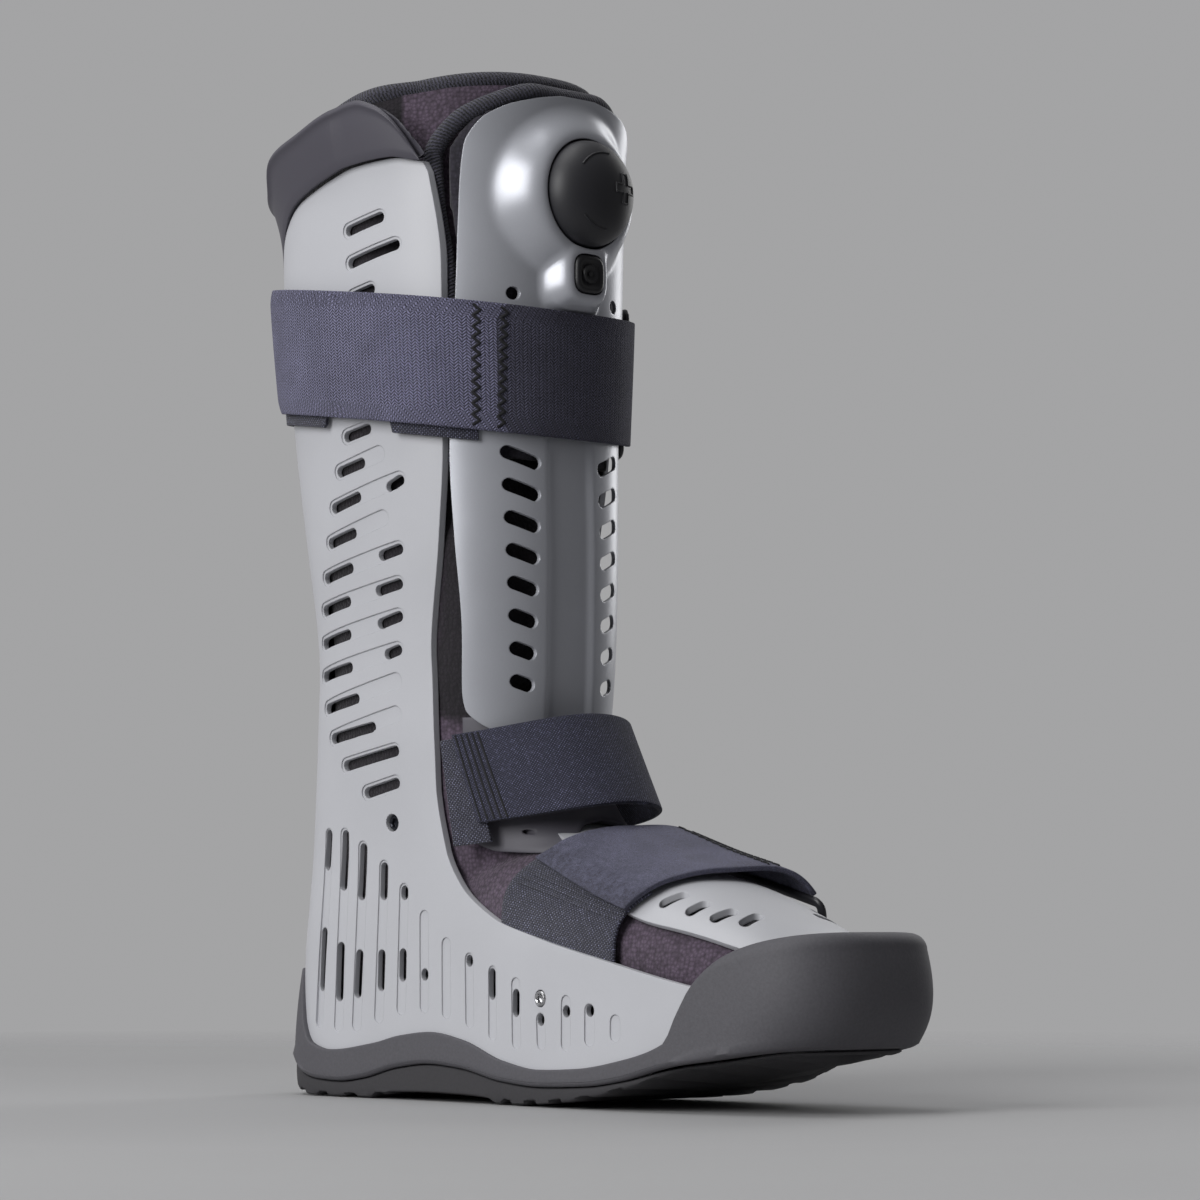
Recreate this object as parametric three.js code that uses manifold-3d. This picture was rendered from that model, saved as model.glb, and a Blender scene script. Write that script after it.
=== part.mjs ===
// A medical walking boot with a ventilated shell, an air pump and three straps.
// Millimetres, +Z up, +X to the toe, +Y to the wearer's left. The origin is on
// the floor under the axis of the leg.
import * as THREE from "three";
import { mergeVertices } from "three/addons/utils/BufferGeometryUtils.js";
import Module from "manifold-3d";

const wasm = await Module();
wasm.setup();

// Driving sizes
const shellHeight = 400; // floor to the top of the collar
const linerHeight = 412; // floor to the liner's rim at the front
const soleLength = 319;
const heelBack = 82; // leg axis to the back of the heel
const soleWidth = 104; // across the ball of the foot
const calfDepth = 144; // front to back of the calf section
const calfWidth = 120;
const bumperHeight = 68; // floor to the rim of the toe bumper
const treadHeight = 22; // floor to the top of the tread at the toe

const shellWall = 3;
const collarWall = 3.4;
const panelWall = 2.6;
const linerWall = 7;
const padWall = 6;
const rimWall = 4.5; // the sole's rim round the shell
const floorHeight = 12; // the sole's inner floor
const treadFloor = 4; // the tread's thickness inside its rim
const midsoleFloor = 2.7; // the least of the midsole under the foot
const basePlate = 3; // the shell's floor plate
const shellInset = 3; // the shell's side stands in from the sole's side
const clearance = 0.3; // between pieces that touch

const slotWidth = 4.2;
const panelSlotWidth = 4.4;
const channelWidth = 25;
const channelDepth = 2.2;

const bulbRadius = 21.8;
const bulbHeight = 366;
const bulbReach = 90; // leg axis to the top of the bulb
const valveSize = 15.5;
const valveHeight = 333;
const valveReach = 78;

const strapWidth = 52;
const strapThickness = 2.2;
const pileThickness = 1.6;
const bindingWidth = 7;

const ankleScrewRadius = 3.6;
const footScrewRadius = 3.4;

// The leg's outer section at each height, as shares: centre, back and front of
// the calf's depth, half of the calf's width, panel and panelHalf of the same.
const legSections = [
  { height: 0.0, centre: -0.222, back: 0.313, front: 1.3, half: 0.325, panel: 1.1, panelHalf: 0.4 },
  { height: 0.14, centre: -0.215, back: 0.309, front: 1.2, half: 0.321, panel: 1.0, panelHalf: 0.4 },
  { height: 0.2, centre: -0.194, back: 0.313, front: 1.05, half: 0.321, panel: 0.9, panelHalf: 0.4 },
  { height: 0.3, centre: -0.139, back: 0.34, front: 0.67, half: 0.346, panel: 0.66, panelHalf: 0.42 },
  { height: 0.37, centre: -0.097, back: 0.361, front: 0.552, half: 0.363, panel: 0.545, panelHalf: 0.438 },
  { height: 0.44, centre: -0.069, back: 0.375, front: 0.486, half: 0.376, panel: 0.524, panelHalf: 0.45 },
  { height: 0.48, centre: -0.06, back: 0.389, front: 0.482, half: 0.388, panel: 0.517, panelHalf: 0.455 },
  { height: 0.56, centre: -0.049, back: 0.424, front: 0.486, half: 0.425, panel: 0.507, panelHalf: 0.46 },
  { height: 0.68, centre: -0.042, back: 0.472, front: 0.486, half: 0.467, panel: 0.492, panelHalf: 0.472 },
  { height: 0.845, centre: -0.042, back: 0.514, front: 0.489, half: 0.5, panel: 0.493, panelHalf: 0.5 },
  { height: 1.0, centre: -0.042, back: 0.524, front: 0.493, half: 0.508, panel: 0.5, panelHalf: 0.508 },
  { height: 1.1, centre: -0.042, back: 0.528, front: 0.493, half: 0.508, panel: 0.5, panelHalf: 0.508 },
];

// Half the sole's width along its length
const solePlan = [
  { along: 0.0, half: 0.404 },
  { along: 0.139, half: 0.404 },
  { along: 0.26, half: 0.399 },
  { along: 0.385, half: 0.413 },
  { along: 0.51, half: 0.457 },
  { along: 0.636, half: 0.495 },
  { along: 0.748, half: 0.5 },
  { along: 0.86, half: 0.462 },
  { along: 1.0, half: 0.445 },
];
const heelRound = 0.139; // share of the length that the heel's round end takes
const toeRound = 0.12;

// The shell's front edge at each height, as a share of the sole's length
const shellEdge = [
  { height: 0.116, along: 0.826 },
  { height: 0.142, along: 0.675 },
  { height: 0.162, along: 0.557 },
  { height: 0.181, along: 0.468 },
  { height: 0.214, along: 0.4 },
  { height: 0.252, along: 0.369 },
  { height: 0.32, along: 0.352 },
  { height: 0.44, along: 0.349 },
  { height: 0.562, along: 0.372 },
  { height: 0.66, along: 0.384 },
  { height: 0.84, along: 0.388 },
  { height: 0.94, along: 0.373 },
  { height: 1.0, along: 0.352 },
];

// Top of the sole's rim, seen from the side: low under the ball, up at the heel
// tab and the toe bumper. Heights are shares of the bumper's height.
const rimProfile = [
  { along: -0.02, top: 0.77 },
  { along: 0.044, top: 0.765 },
  { along: 0.06, top: 0.6 },
  { along: 0.076, top: 0.42 },
  { along: 0.101, top: 0.316 },
  { along: 0.145, top: 0.279 },
  { along: 0.227, top: 0.324 },
  { along: 0.28, top: 0.375 },
  { along: 0.34, top: 0.4 },
  { along: 0.4, top: 0.362 },
  { along: 0.486, top: 0.25 },
  { along: 0.56, top: 0.207 },
  { along: 0.637, top: 0.221 },
  { along: 0.71, top: 0.272 },
  { along: 0.785, top: 0.376 },
  { along: 0.804, top: 0.529 },
  { along: 0.826, top: 0.685 },
  { along: 0.864, top: 0.824 },
  { along: 0.902, top: 0.882 },
  { along: 0.95, top: 0.94 },
  { along: 0.985, top: 0.985 },
  { along: 1.03, top: 1.0 },
];

// The line between the rim and the tread, and the tread's rocker underside
const treadProfile = [
  { along: -0.02, top: 0.77, bottom: 0.36 },
  { along: 0.05, top: 0.62, bottom: 0.14 },
  { along: 0.08, top: 0.4, bottom: 0.02 },
  { along: 0.117, top: 0.295, bottom: 0.0 },
  { along: 0.164, top: 0.264, bottom: 0.0 },
  { along: 0.211, top: 0.341, bottom: 0.0 },
  { along: 0.275, top: 0.55, bottom: 0.0 },
  { along: 0.338, top: 0.636, bottom: 0.0 },
  { along: 0.4, top: 0.58, bottom: 0.0 },
  { along: 0.486, top: 0.386, bottom: 0.0 },
  { along: 0.56, top: 0.318, bottom: 0.03 },
  { along: 0.653, top: 0.364, bottom: 0.16 },
  { along: 0.716, top: 0.48, bottom: 0.3 },
  { along: 0.789, top: 0.7, bottom: 0.46 },
  { along: 0.861, top: 0.8, bottom: 0.65 },
  { along: 0.92, top: 0.92, bottom: 0.78 },
  { along: 0.957, top: 0.98, bottom: 0.85 },
  { along: 1.0, top: 1.0, bottom: 0.9 },
  { along: 1.03, top: 1.0, bottom: 0.92 },
];

// The liner's foot: top of the instep and half width, along the sole
const footSections = [
  { along: 0.12, top: 0.2, bottom: 0.042, half: 0.25 },
  { along: 0.26, top: 0.29, bottom: 0.042, half: 0.315 },
  { along: 0.38, top: 0.292, bottom: 0.042, half: 0.335 },
  { along: 0.511, top: 0.266, bottom: 0.042, half: 0.385 },
  { along: 0.67, top: 0.224, bottom: 0.042, half: 0.415 },
  { along: 0.757, top: 0.205, bottom: 0.042, half: 0.41 },
  { along: 0.842, top: 0.178, bottom: 0.058, half: 0.37 },
  { along: 0.905, top: 0.153, bottom: 0.068, half: 0.3 },
  { along: 0.94, top: 0.13, bottom: 0.078, half: 0.22 },
  { along: 0.955, top: 0.115, bottom: 0.09, half: 0.12 },
];

// Rows of leg slots: centre height, the open stretch behind and in front
const legSlots = [
  { height: 0.885, rear: -0.042, front: 0.052 },
  { height: 0.846, rear: -0.035, front: 0.09 },
  { height: 0.796, rear: -0.022, front: 0.03 },
  { height: 0.66, rear: -0.06, front: 0.005 },
  { height: 0.62, rear: -0.07, front: -0.005, spare: 0.07 },
  { height: 0.583, rear: -0.08, front: -0.015 },
  { height: 0.547, rear: -0.09, front: -0.025, spare: 0.06 },
  { height: 0.511, rear: -0.095, front: -0.03, spare: 0.06 },
  { height: 0.476, rear: -0.097, front: -0.032, spare: 0.06 },
  { height: 0.442, rear: -0.097, front: -0.028, spare: 0.06 },
  { height: 0.41, rear: -0.095, front: -0.005 },
  { height: 0.38, rear: -0.08, front: 0.03 },
  { height: 0.352, rear: -0.045, front: 0.09 },
  { height: 0.326, rear: 0.01, front: 0.1 },
];
const slotRise = 0.26; // slope of the leg slots
const spareSlot = 0.055; // length of a row's second slot, of the sole's length

// Upright heel slots: place along the sole, then the upper and the lower opening
const heelSlots = [
  { along: 0.092, top: 0.27, middle: 0.235, low: 0.175, bottom: 0.115 },
  { along: 0.126, top: 0.268, middle: 0.21, low: 0.166, bottom: 0.108 },
  { along: 0.163, top: 0.26, middle: 0.203, low: 0.162, bottom: 0.108 },
  { along: 0.206, top: 0.245, middle: 0.203, low: 0.16, bottom: 0.112 },
  { along: 0.252, top: 0.22, middle: 0.203, low: 0.16, bottom: 0.118 },
  { along: 0.298, low: 0.146, bottom: 0.128 },
  { along: 0.4, low: 0.152, bottom: 0.136 },
  { along: 0.447, low: 0.145, bottom: 0.103 },
  { along: 0.497, low: 0.124, bottom: 0.085 },
  { along: 0.545, low: 0.098, bottom: 0.084 },
  { along: 0.595, low: 0.106, bottom: 0.086 },
  { along: 0.64, low: 0.106, bottom: 0.09 },
];

// Slots of the shin panel, one row a line, mirrored about the channel
const panelSlots = { count: 8, top: 0.641, pitch: 0.0325, inner: 0.13, outer: 0.263, taper: 0.012, rise: 0.38 };

const alongSole = (share) => share * soleLength - heelBack;
const share = (x) => (x + heelBack) / soleLength;

// Smooth reading of a table's column, with the slopes of its neighbours
function read(rows, key, column, at) {
  const last = rows.length - 1;
  if (at <= rows[0][key]) return rows[0][column];
  if (at >= rows[last][key]) return rows[last][column];
  const i = rows.findIndex((row) => row[key] > at) - 1;
  const step = (j) => (rows[j + 1][column] - rows[j][column]) / (rows[j + 1][key] - rows[j][key]);
  const slope = (j) => {
    if (j === 0) return step(0);
    if (j === last) return step(last - 1);
    const before = step(j - 1);
    const after = step(j);
    return before * after <= 0 ? 0 : (2 * before * after) / (before + after);
  };
  const width = rows[i + 1][key] - rows[i][key];
  const t = (at - rows[i][key]) / width;
  const rise = rows[i + 1][column] - rows[i][column];
  const a = slope(i) * width - rise;
  const b = rise - slope(i + 1) * width;
  return rows[i][column] + rise * t + t * (1 - t) * (a * (1 - t) + b * t);
}

const mix = (a, b, t) => a + (b - a) * t;
const range = (count, make) => Array.from({ length: count }, (_, i) => make(i / (count - 1), i));
const power = (value, exponent) => Math.sign(value) * Math.abs(value) ** exponent;

// The leg's section at a height, in millimetres
function legSection(z) {
  const at = z / shellHeight;
  const depth = (column) => read(legSections, "height", column, at) * calfDepth;
  return {
    centre: depth("centre"),
    back: depth("back"),
    front: depth("front"),
    panel: depth("panel"),
    half: read(legSections, "height", "half", at) * calfWidth,
    panelHalf: read(legSections, "height", "panelHalf", at) * calfWidth,
  };
}

const fullness = 2.5; // exponent of the sections, 2 is an ellipse

// A point on the leg's section at a height, angle 0 at the shin
function legPoint(z, angle, offset, panel = false) {
  const section = legSection(z);
  const reach = panel ? section.panel : section.front;
  const half = panel ? section.panelHalf : section.half;
  const depth = (Math.cos(angle) > 0 ? reach : section.back) + offset;
  const x = section.centre + depth * power(Math.cos(angle), 2 / fullness);
  const y = (half + offset) * power(Math.sin(angle), 2 / fullness);
  return new THREE.Vector3(x, y, z);
}

// Height of the front surface: x for a place y across the shin
function frontReach(z, y, offset, panel = true) {
  const section = legSection(z);
  const half = (panel ? section.panelHalf : section.half) + offset;
  const depth = (panel ? section.panel : section.front) + offset;
  const inside = 1 - Math.min(0.97, Math.abs(y) / half) ** fullness;
  return section.centre + depth * inside ** (1 / fullness);
}

// Half the sole's width at a place along it
function soleHalf(x) {
  const at = share(x);
  const half = read(solePlan, "along", "half", at) * soleWidth;
  if (at < heelRound) {
    const t = Math.min(1, (heelRound - at) / heelRound);
    return half * (1 - t ** 2.3) ** (1 / 2.3);
  }
  if (at > 1 - toeRound) {
    const t = Math.min(1, (at - 1 + toeRound) / toeRound);
    return half * (1 - t ** 3) ** (1 / 3);
  }
  return half;
}

// The sole's outline as a closed ring at one height, stepped in by inset
function soleRing(z, inset) {
  const heel = range(6, (t) => alongSole(heelRound * (1 - Math.cos((t * Math.PI) / 2))));
  const side = range(8, (t) => alongSole(mix(heelRound, 1 - toeRound, t))).slice(1, -1);
  const toe = range(6, (t) => alongSole(1 - toeRound + toeRound * Math.sin((t * Math.PI) / 2)));
  const plan = [...heel, ...side, ...toe].map((x) => new THREE.Vector2(x, soleHalf(x)));
  const right = plan.map((point, i) => {
    const before = plan[Math.max(0, i - 1)];
    const after = plan[Math.min(plan.length - 1, i + 1)];
    const along = after.clone().sub(before).normalize();
    if (i === 0) along.set(0, 1);
    if (i === plan.length - 1) along.set(0, -1);
    const x = point.x + along.y * inset;
    const y = i === 0 || i === plan.length - 1 ? 0 : Math.max(0.5, point.y - along.x * inset);
    return new THREE.Vector3(x, y, z);
  });
  const left = right.slice(1, -1).reverse();
  return [...right.reverse(), ...left.reverse().map((point) => new THREE.Vector3(point.x, -point.y, z))];
}

// The shell's side at a height: half width at x, from the leg's and the foot's form
function shellHalf(x, z) {
  const section = legSection(z);
  const front = Math.min(0.97, Math.max(0, (x - section.centre) / section.front));
  const leg = section.half * (1 - front ** fullness) ** (1 / fullness);
  const foot = soleHalf(x) - shellInset;
  return mix(foot, leg, THREE.MathUtils.smoothstep(z, 0.14 * shellHeight, 0.4 * shellHeight));
}

const shellEdgeAt = (z) => alongSole(read(shellEdge, "height", "along", z / shellHeight));

// The shell's open section at a height, from one front edge round the heel
function shellRow(z, offset, edge = shellEdgeAt(z)) {
  const section = legSection(z);
  const sides = range(5, (t) => {
    const x = mix(edge, section.centre, t ** 0.85);
    return new THREE.Vector3(x, -shellHalf(x, z) - offset, z);
  });
  const half = shellHalf(section.centre, z) + offset;
  const back = range(6, (t) => {
    const angle = (t * Math.PI) / 2;
    const x = section.centre - (section.back + offset) * power(Math.sin(angle), 2 / fullness);
    return new THREE.Vector3(x, -half * power(Math.cos(angle), 2 / fullness), z);
  });
  back[back.length - 1].y = 0;
  const right = [...sides, ...back.slice(1)];
  const left = right.slice(0, -1).map((point) => new THREE.Vector3(point.x, -point.y, z));
  return [...right, ...left.reverse()];
}

// Triangles of two grids of points that face each other across a wall
function wallGeometry(outer, inner, loop = false) {
  const rows = outer.length;
  const columns = outer[0].length;
  const positions = [...outer.flat(), ...inner.flat()].flatMap((point) => point.toArray());
  const at = (side, row, column) => side * rows * columns + row * columns + (column % columns);
  const index = [];
  const quad = (a, b, c, d) => index.push(a, b, c, a, c, d);
  const lastColumn = loop ? columns : columns - 1;
  for (let row = 0; row < rows - 1; row += 1) {
    for (let column = 0; column < lastColumn; column += 1) {
      const next = column + 1;
      quad(at(0, row, column), at(0, row, next), at(0, row + 1, next), at(0, row + 1, column));
      quad(at(1, row, next), at(1, row, column), at(1, row + 1, column), at(1, row + 1, next));
    }
    if (loop) continue;
    quad(at(1, row, 0), at(0, row, 0), at(0, row + 1, 0), at(1, row + 1, 0));
    const end = columns - 1;
    quad(at(0, row, end), at(1, row, end), at(1, row + 1, end), at(0, row + 1, end));
  }
  for (let column = 0; column < lastColumn; column += 1) {
    const next = column + 1;
    quad(at(1, 0, column), at(1, 0, next), at(0, 0, next), at(0, 0, column));
    quad(at(0, rows - 1, column), at(0, rows - 1, next), at(1, rows - 1, next), at(1, rows - 1, column));
  }
  return geometryOf(positions, index);
}

// A closed body through a stack of rings, its ends closed to their middles
function stackGeometry(rings) {
  const count = rings[0].length;
  const positions = rings.flat().flatMap((point) => point.toArray());
  const index = [];
  const at = (row, column) => row * count + (column % count);
  for (let row = 0; row < rings.length - 1; row += 1) {
    for (let column = 0; column < count; column += 1) {
      const next = column + 1;
      index.push(at(row, column), at(row, next), at(row + 1, next));
      index.push(at(row, column), at(row + 1, next), at(row + 1, column));
    }
  }
  const cap = (ring, row, up) => {
    const middle = ring.reduce((sum, point) => sum.add(point), new THREE.Vector3()).divideScalar(count);
    positions.push(...middle.toArray());
    const centre = positions.length / 3 - 1;
    for (let column = 0; column < count; column += 1) {
      const pair = up ? [column, column + 1] : [column + 1, column];
      index.push(at(row, pair[0]), at(row, pair[1]), centre);
    }
  };
  cap(rings[0], 0, false);
  cap(rings[rings.length - 1], rings.length - 1, true);
  return geometryOf(positions, index);
}

function geometryOf(positions, index) {
  const geometry = new THREE.BufferGeometry();
  geometry.setAttribute("position", new THREE.Float32BufferAttribute(positions, 3));
  geometry.setIndex(index);
  return geometry;
}

// A closed three.js geometry as a solid that can be joined and cut
function solidOf(geometry) {
  const plain = geometry.clone();
  plain.deleteAttribute("normal");
  plain.deleteAttribute("uv");
  const merged = mergeVertices(plain, 1e-4);
  const triVerts = new Uint32Array(merged.index.array);
  const vertProperties = new Float32Array(merged.attributes.position.array);
  const solid = new wasm.Manifold(new wasm.Mesh({ numProp: 3, vertProperties, triVerts }));
  if (solid.volume() >= 0) return solid;
  for (let i = 0; i < triVerts.length; i += 3) {
    [triVerts[i + 1], triVerts[i + 2]] = [triVerts[i + 2], triVerts[i + 1]];
  }
  return new wasm.Manifold(new wasm.Mesh({ numProp: 3, vertProperties, triVerts }));
}

function meshOf(name, solid, look) {
  const mesh = solid.getMesh();
  const geometry = geometryOf(Array.from(mesh.vertProperties), Array.from(mesh.triVerts));
  geometry.computeVertexNormals();
  const piece = new THREE.Mesh(geometry, new THREE.MeshStandardMaterial(look));
  piece.name = name;
  return piece;
}

const wall = (outer, inner, loop) => solidOf(wallGeometry(outer, inner, loop));
const stack = (rings) => solidOf(stackGeometry(rings));

const sideways = new THREE.Matrix4().makeBasis(
  new THREE.Vector3(1, 0, 0),
  new THREE.Vector3(0, 0, 1),
  new THREE.Vector3(0, -1, 0),
);
const forwards = new THREE.Matrix4().makeBasis(
  new THREE.Vector3(0, 1, 0),
  new THREE.Vector3(0, 0, 1),
  new THREE.Vector3(1, 0, 0),
);

// An outline pushed through: drawn in x and z and pushed along y, or in y and z
// and pushed along x
function prism(points, frame, from, to) {
  const shape = new THREE.Shape(points.map(([a, b]) => new THREE.Vector2(a, b)));
  const geometry = new THREE.ExtrudeGeometry(shape, { depth: to - from, bevelEnabled: false });
  geometry.translate(0, 0, from);
  geometry.applyMatrix4(frame);
  return solidOf(geometry);
}

const acrossBoot = soleWidth; // reach of a cut through both sides

// A slot between two points, as an outline
function slotOutline(ax, az, bx, bz, width) {
  const along = new THREE.Vector2(bx - ax, bz - az).normalize();
  const aside = new THREE.Vector2(-along.y, along.x).multiplyScalar(width / 2);
  return [
    [ax + aside.x, az + aside.y],
    [ax - aside.x, az - aside.y],
    [bx - aside.x, bz - aside.y],
    [bx + aside.x, bz + aside.y],
  ];
}

// The rim's profile from heel to toe, raised by lift
const rimLine = (lift) => rimProfile.map((row) => [alongSole(row.along), row.top * bumperHeight + lift]);
const treadLine = (column, lift) =>
  treadProfile.map((row) => [alongSole(row.along), row[column] * treadHeight + lift]);

// Everything above, or below, a line in the side view
function beyond(line, level) {
  const [first] = line;
  const last = line[line.length - 1];
  const points = [...line, [last[0], level], [first[0], level]];
  return prism(points, sideways, -acrossBoot, acrossBoot);
}

const farAbove = shellHeight * 1.2;
const farBelow = -shellHeight * 0.2;

// Sole

function makeMidsole() {
  const levels = [
    { z: 0.06, inset: 2.4 },
    { z: 0.2, inset: 0 },
    { z: 0.5, inset: 0.9 },
    { z: 0.92, inset: 2.2 },
    { z: 1.0, inset: 4.2 },
  ];
  const outer = stack(levels.map((row) => soleRing(row.z * bumperHeight, row.inset)));
  const ramp = treadLine("bottom", treadFloor + clearance + midsoleFloor).filter(([x]) => x > 0);
  const cavity = stack([
    soleRing(floorHeight, rimWall),
    soleRing(0.5 * bumperHeight, rimWall),
    soleRing(1.1 * bumperHeight, rimWall + 2.5),
  ]).subtract(beyond(ramp, farBelow));
  return outer
    .subtract(beyond(treadLine("top", clearance), farBelow))
    .add(solePlug(clearance))
    .subtract(cavity)
    .subtract(beyond(rimLine(0), farAbove));
}

// The midsole's core, which drops into the tread's rim
function solePlug(gap) {
  const inset = rimWall - 1 + gap;
  const core = stack([soleRing(treadFloor + gap, inset), soleRing(treadHeight, inset)]);
  return core.subtract(beyond(treadLine("bottom", treadFloor + gap), farBelow));
}

const archRecess = { from: 0.23, to: 0.48, height: 5, rib: 12 };
const treadGrooves = { first: 0.55, last: 0.85, count: 4, depth: 2.4, width: 4 };
const heelGrooves = { first: 0.07, last: 0.18, count: 2 };

function makeOutsole() {
  const levels = [
    { z: 0, inset: 4 },
    { z: 0.15, inset: 1.8 },
    { z: 1.0, inset: 1.4 },
  ];
  const block = stack(levels.map((row) => soleRing(row.z * treadHeight, row.inset)));
  let sole = block
    .subtract(beyond(treadLine("top", 0), farAbove))
    .subtract(beyond(treadLine("bottom", 0), farBelow))
    .subtract(solePlug(0));
  const from = alongSole(archRecess.from);
  const to = alongSole(archRecess.to);
  const arch = [
    [from, farBelow],
    [from, 0.3 * archRecess.height],
    [mix(from, to, 0.25), archRecess.height],
    [mix(from, to, 0.7), archRecess.height],
    [to, 0.2 * archRecess.height],
    [to, farBelow],
  ];
  sole = sole.subtract(prism(arch, sideways, archRecess.rib, acrossBoot));
  sole = sole.subtract(prism(arch, sideways, -acrossBoot, -archRecess.rib));
  const groovesOf = (set) =>
    range(set.count, (t) => {
      const x = alongSole(mix(set.first, set.last, t));
      const z = read(treadProfile, "along", "bottom", share(x)) * treadHeight;
      const half = treadGrooves.width / 2;
      return [
        [x - half, z - treadGrooves.depth],
        [x + half, z - treadGrooves.depth],
        [x + half * 0.6, z + treadGrooves.depth],
        [x - half * 0.6, z + treadGrooves.depth],
      ];
    });
  const grooves = [...groovesOf(treadGrooves), ...groovesOf(heelGrooves)];
  grooves.forEach((points) => {
    sole = sole.subtract(prism(points, sideways, archRecess.rib, acrossBoot));
    sole = sole.subtract(prism(points, sideways, -acrossBoot, -archRecess.rib));
  });
  return sole;
}

// Shell

// Height of the joint between the shell and its collar, along the boot
const collarLine = [
  { along: -0.02, top: 0.77 },
  { along: 0.03, top: 0.79 },
  { along: 0.055, top: 0.845 },
  { along: 0.075, top: 0.885 },
  { along: 0.1, top: 0.904 },
  { along: 0.133, top: 0.92 },
  { along: 0.18, top: 0.932 },
  { along: 0.215, top: 0.94 },
  { along: 0.26, top: 0.948 },
  { along: 0.33, top: 0.951 },
  { along: 0.362, top: 0.946 },
  { along: 0.45, top: 0.935 },
];

// Rim of the collar
const collarRim = [
  { along: -0.05, top: 0.92 },
  { along: 0.06, top: 0.945 },
  { along: 0.1, top: 0.972 },
  { along: 0.177, top: 0.99 },
  { along: 0.23, top: 1.004 },
  { along: 0.285, top: 1.012 },
  { along: 0.315, top: 1.005 },
  { along: 0.338, top: 0.992 },
  { along: 0.357, top: 0.972 },
  { along: 0.375, top: 0.945 },
  { along: 0.45, top: 0.93 },
];

const heightLine = (rows, lift) => rows.map((row) => [alongSole(row.along), row.top * shellHeight + lift]);

// Levels of the shell, closer where its front edge runs flat over the foot
const shellLevels = [
  0.03, 0.116, 0.13, 0.146, 0.165, 0.19, 0.214, 0.252, 0.32, 0.42, 0.52, 0.62, 0.72, 0.845, 0.955,
];
const cupEnd = 0.665; // the shell's floor ends here, short of the toe

function legSlotCuts(width) {
  return legSlots.flatMap((row) => {
    const z = row.height * shellHeight;
    const rear = row.rear * soleLength;
    const front = row.front * soleLength;
    const middle = (rear + front) / 2;
    const rise = (x) => z + (x - middle) * slotRise;
    const cuts = [slotOutline(rear, rise(rear), front, rise(front), width)];
    if (row.spare) {
      const far = row.spare * soleLength;
      const near = far - spareSlot * soleLength;
      cuts.push(slotOutline(near, rise(near), far, rise(far), width));
    }
    return cuts;
  });
}

function heelSlotCuts(width) {
  return heelSlots.flatMap((row) => {
    const x = alongSole(row.along);
    const upright = (low, high) => slotOutline(x, low * shellHeight, x, high * shellHeight, width);
    const cuts = [upright(row.bottom, row.low)];
    if (row.top) cuts.push(upright(row.middle, row.top));
    return cuts;
  });
}

const heelSlotWidth = 3;
const ankleScrew = { along: 0.309, height: 0.29 };
const footScrew = { along: 0.583, height: 0.112 };
const screwPlace = (screw) => ({ x: alongSole(screw.along), z: screw.height * shellHeight });

function roundOutline(x, z, radius, sides = 10) {
  return range(sides + 1, (t) => [
    x + radius * Math.cos(t * 2 * Math.PI),
    z + radius * Math.sin(t * 2 * Math.PI),
  ]).slice(0, -1);
}

function makeShell() {
  const rows = (offset) => shellLevels.map((level) => shellRow(level * shellHeight, offset));
  let shell = wall(rows(0), rows(-shellWall))
    .subtract(beyond(rimLine(clearance), farBelow))
    .subtract(beyond(heightLine(collarLine, 0), farAbove));
  const inset = rimWall + clearance;
  const top = 0.5 * bumperHeight;
  const cup = stack([soleRing(floorHeight + clearance, inset), soleRing(top, inset)]);
  const floorTop = floorHeight + clearance + basePlate;
  const room = stack([soleRing(floorTop, inset + shellWall), soleRing(top + 1, inset + shellWall)]);
  const toe = alongSole(cupEnd);
  const ahead = prism(
    [
      [toe, farBelow],
      [soleLength, farBelow],
      [soleLength, farAbove],
      [toe, farAbove],
    ],
    sideways,
    -acrossBoot,
    acrossBoot,
  );
  shell = shell.add(cup.subtract(room).subtract(ahead));
  const cuts = [
    ...legSlotCuts(slotWidth),
    ...heelSlotCuts(heelSlotWidth),
    ...[ankleScrew, footScrew].map((screw) => {
      const { x, z } = screwPlace(screw);
      return roundOutline(x, z, screw === ankleScrew ? ankleScrewRadius : footScrewRadius);
    }),
  ];
  cuts.forEach((points) => {
    shell = shell.subtract(prism(points, sideways, -acrossBoot, acrossBoot));
  });
  return shell;
}

// Collar over the shell's top edge, flaring outwards to its rim

const collarFlare = 7; // how far the rim stands out
const collarLevels = [0.76, 0.84, 0.89, 0.93, 0.97, 1.02];

function makeCollar() {
  const flare = (level) => collarFlare * THREE.MathUtils.smoothstep(level, 0.86, 1.01) ** 1.4;
  const rows = (offset) =>
    collarLevels.map((level) => shellRow(level * shellHeight, offset + flare(level)));
  return wall(rows(0), rows(-collarWall))
    .subtract(beyond(heightLine(collarLine, clearance), farBelow))
    .subtract(beyond(heightLine(collarRim, 0), farAbove));
}

// Liner: a leg tube and a foot, one hollow bootie, sunk in front for the pad

const ringSteps = 20;
const around = (make) => range(ringSteps + 1, (t) => make(t * 2 * Math.PI)).slice(0, -1);

const linerLevels = [0.1, 0.2, 0.26, 0.32, 0.4, 0.48, 0.56, 0.63, 0.84, 1.06];
const padLevels = [0.65, 0.72, 0.76, 0.84, 0.915, 0.96, 0.995, 1.015, 1.028];
const linerEase = 1; // room between the shell and the liner
const shellGap = Math.max(shellWall, collarWall) + linerEase;
const padSink = padWall + 1.2; // how much the pad pushes the liner in

function linerOffset(z, angle) {
  const front = THREE.MathUtils.smoothstep(Math.cos(angle), 0.1, 0.45);
  const high = THREE.MathUtils.smoothstep(z / shellHeight, 0.56, 0.62);
  return -shellGap - padSink * front * high;
}

function legStack(levels, inset) {
  return stack(
    levels.map((level) => {
      const z = level * shellHeight;
      return around((angle) => legPoint(z, angle, linerOffset(z, angle) - inset));
    }),
  );
}

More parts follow.
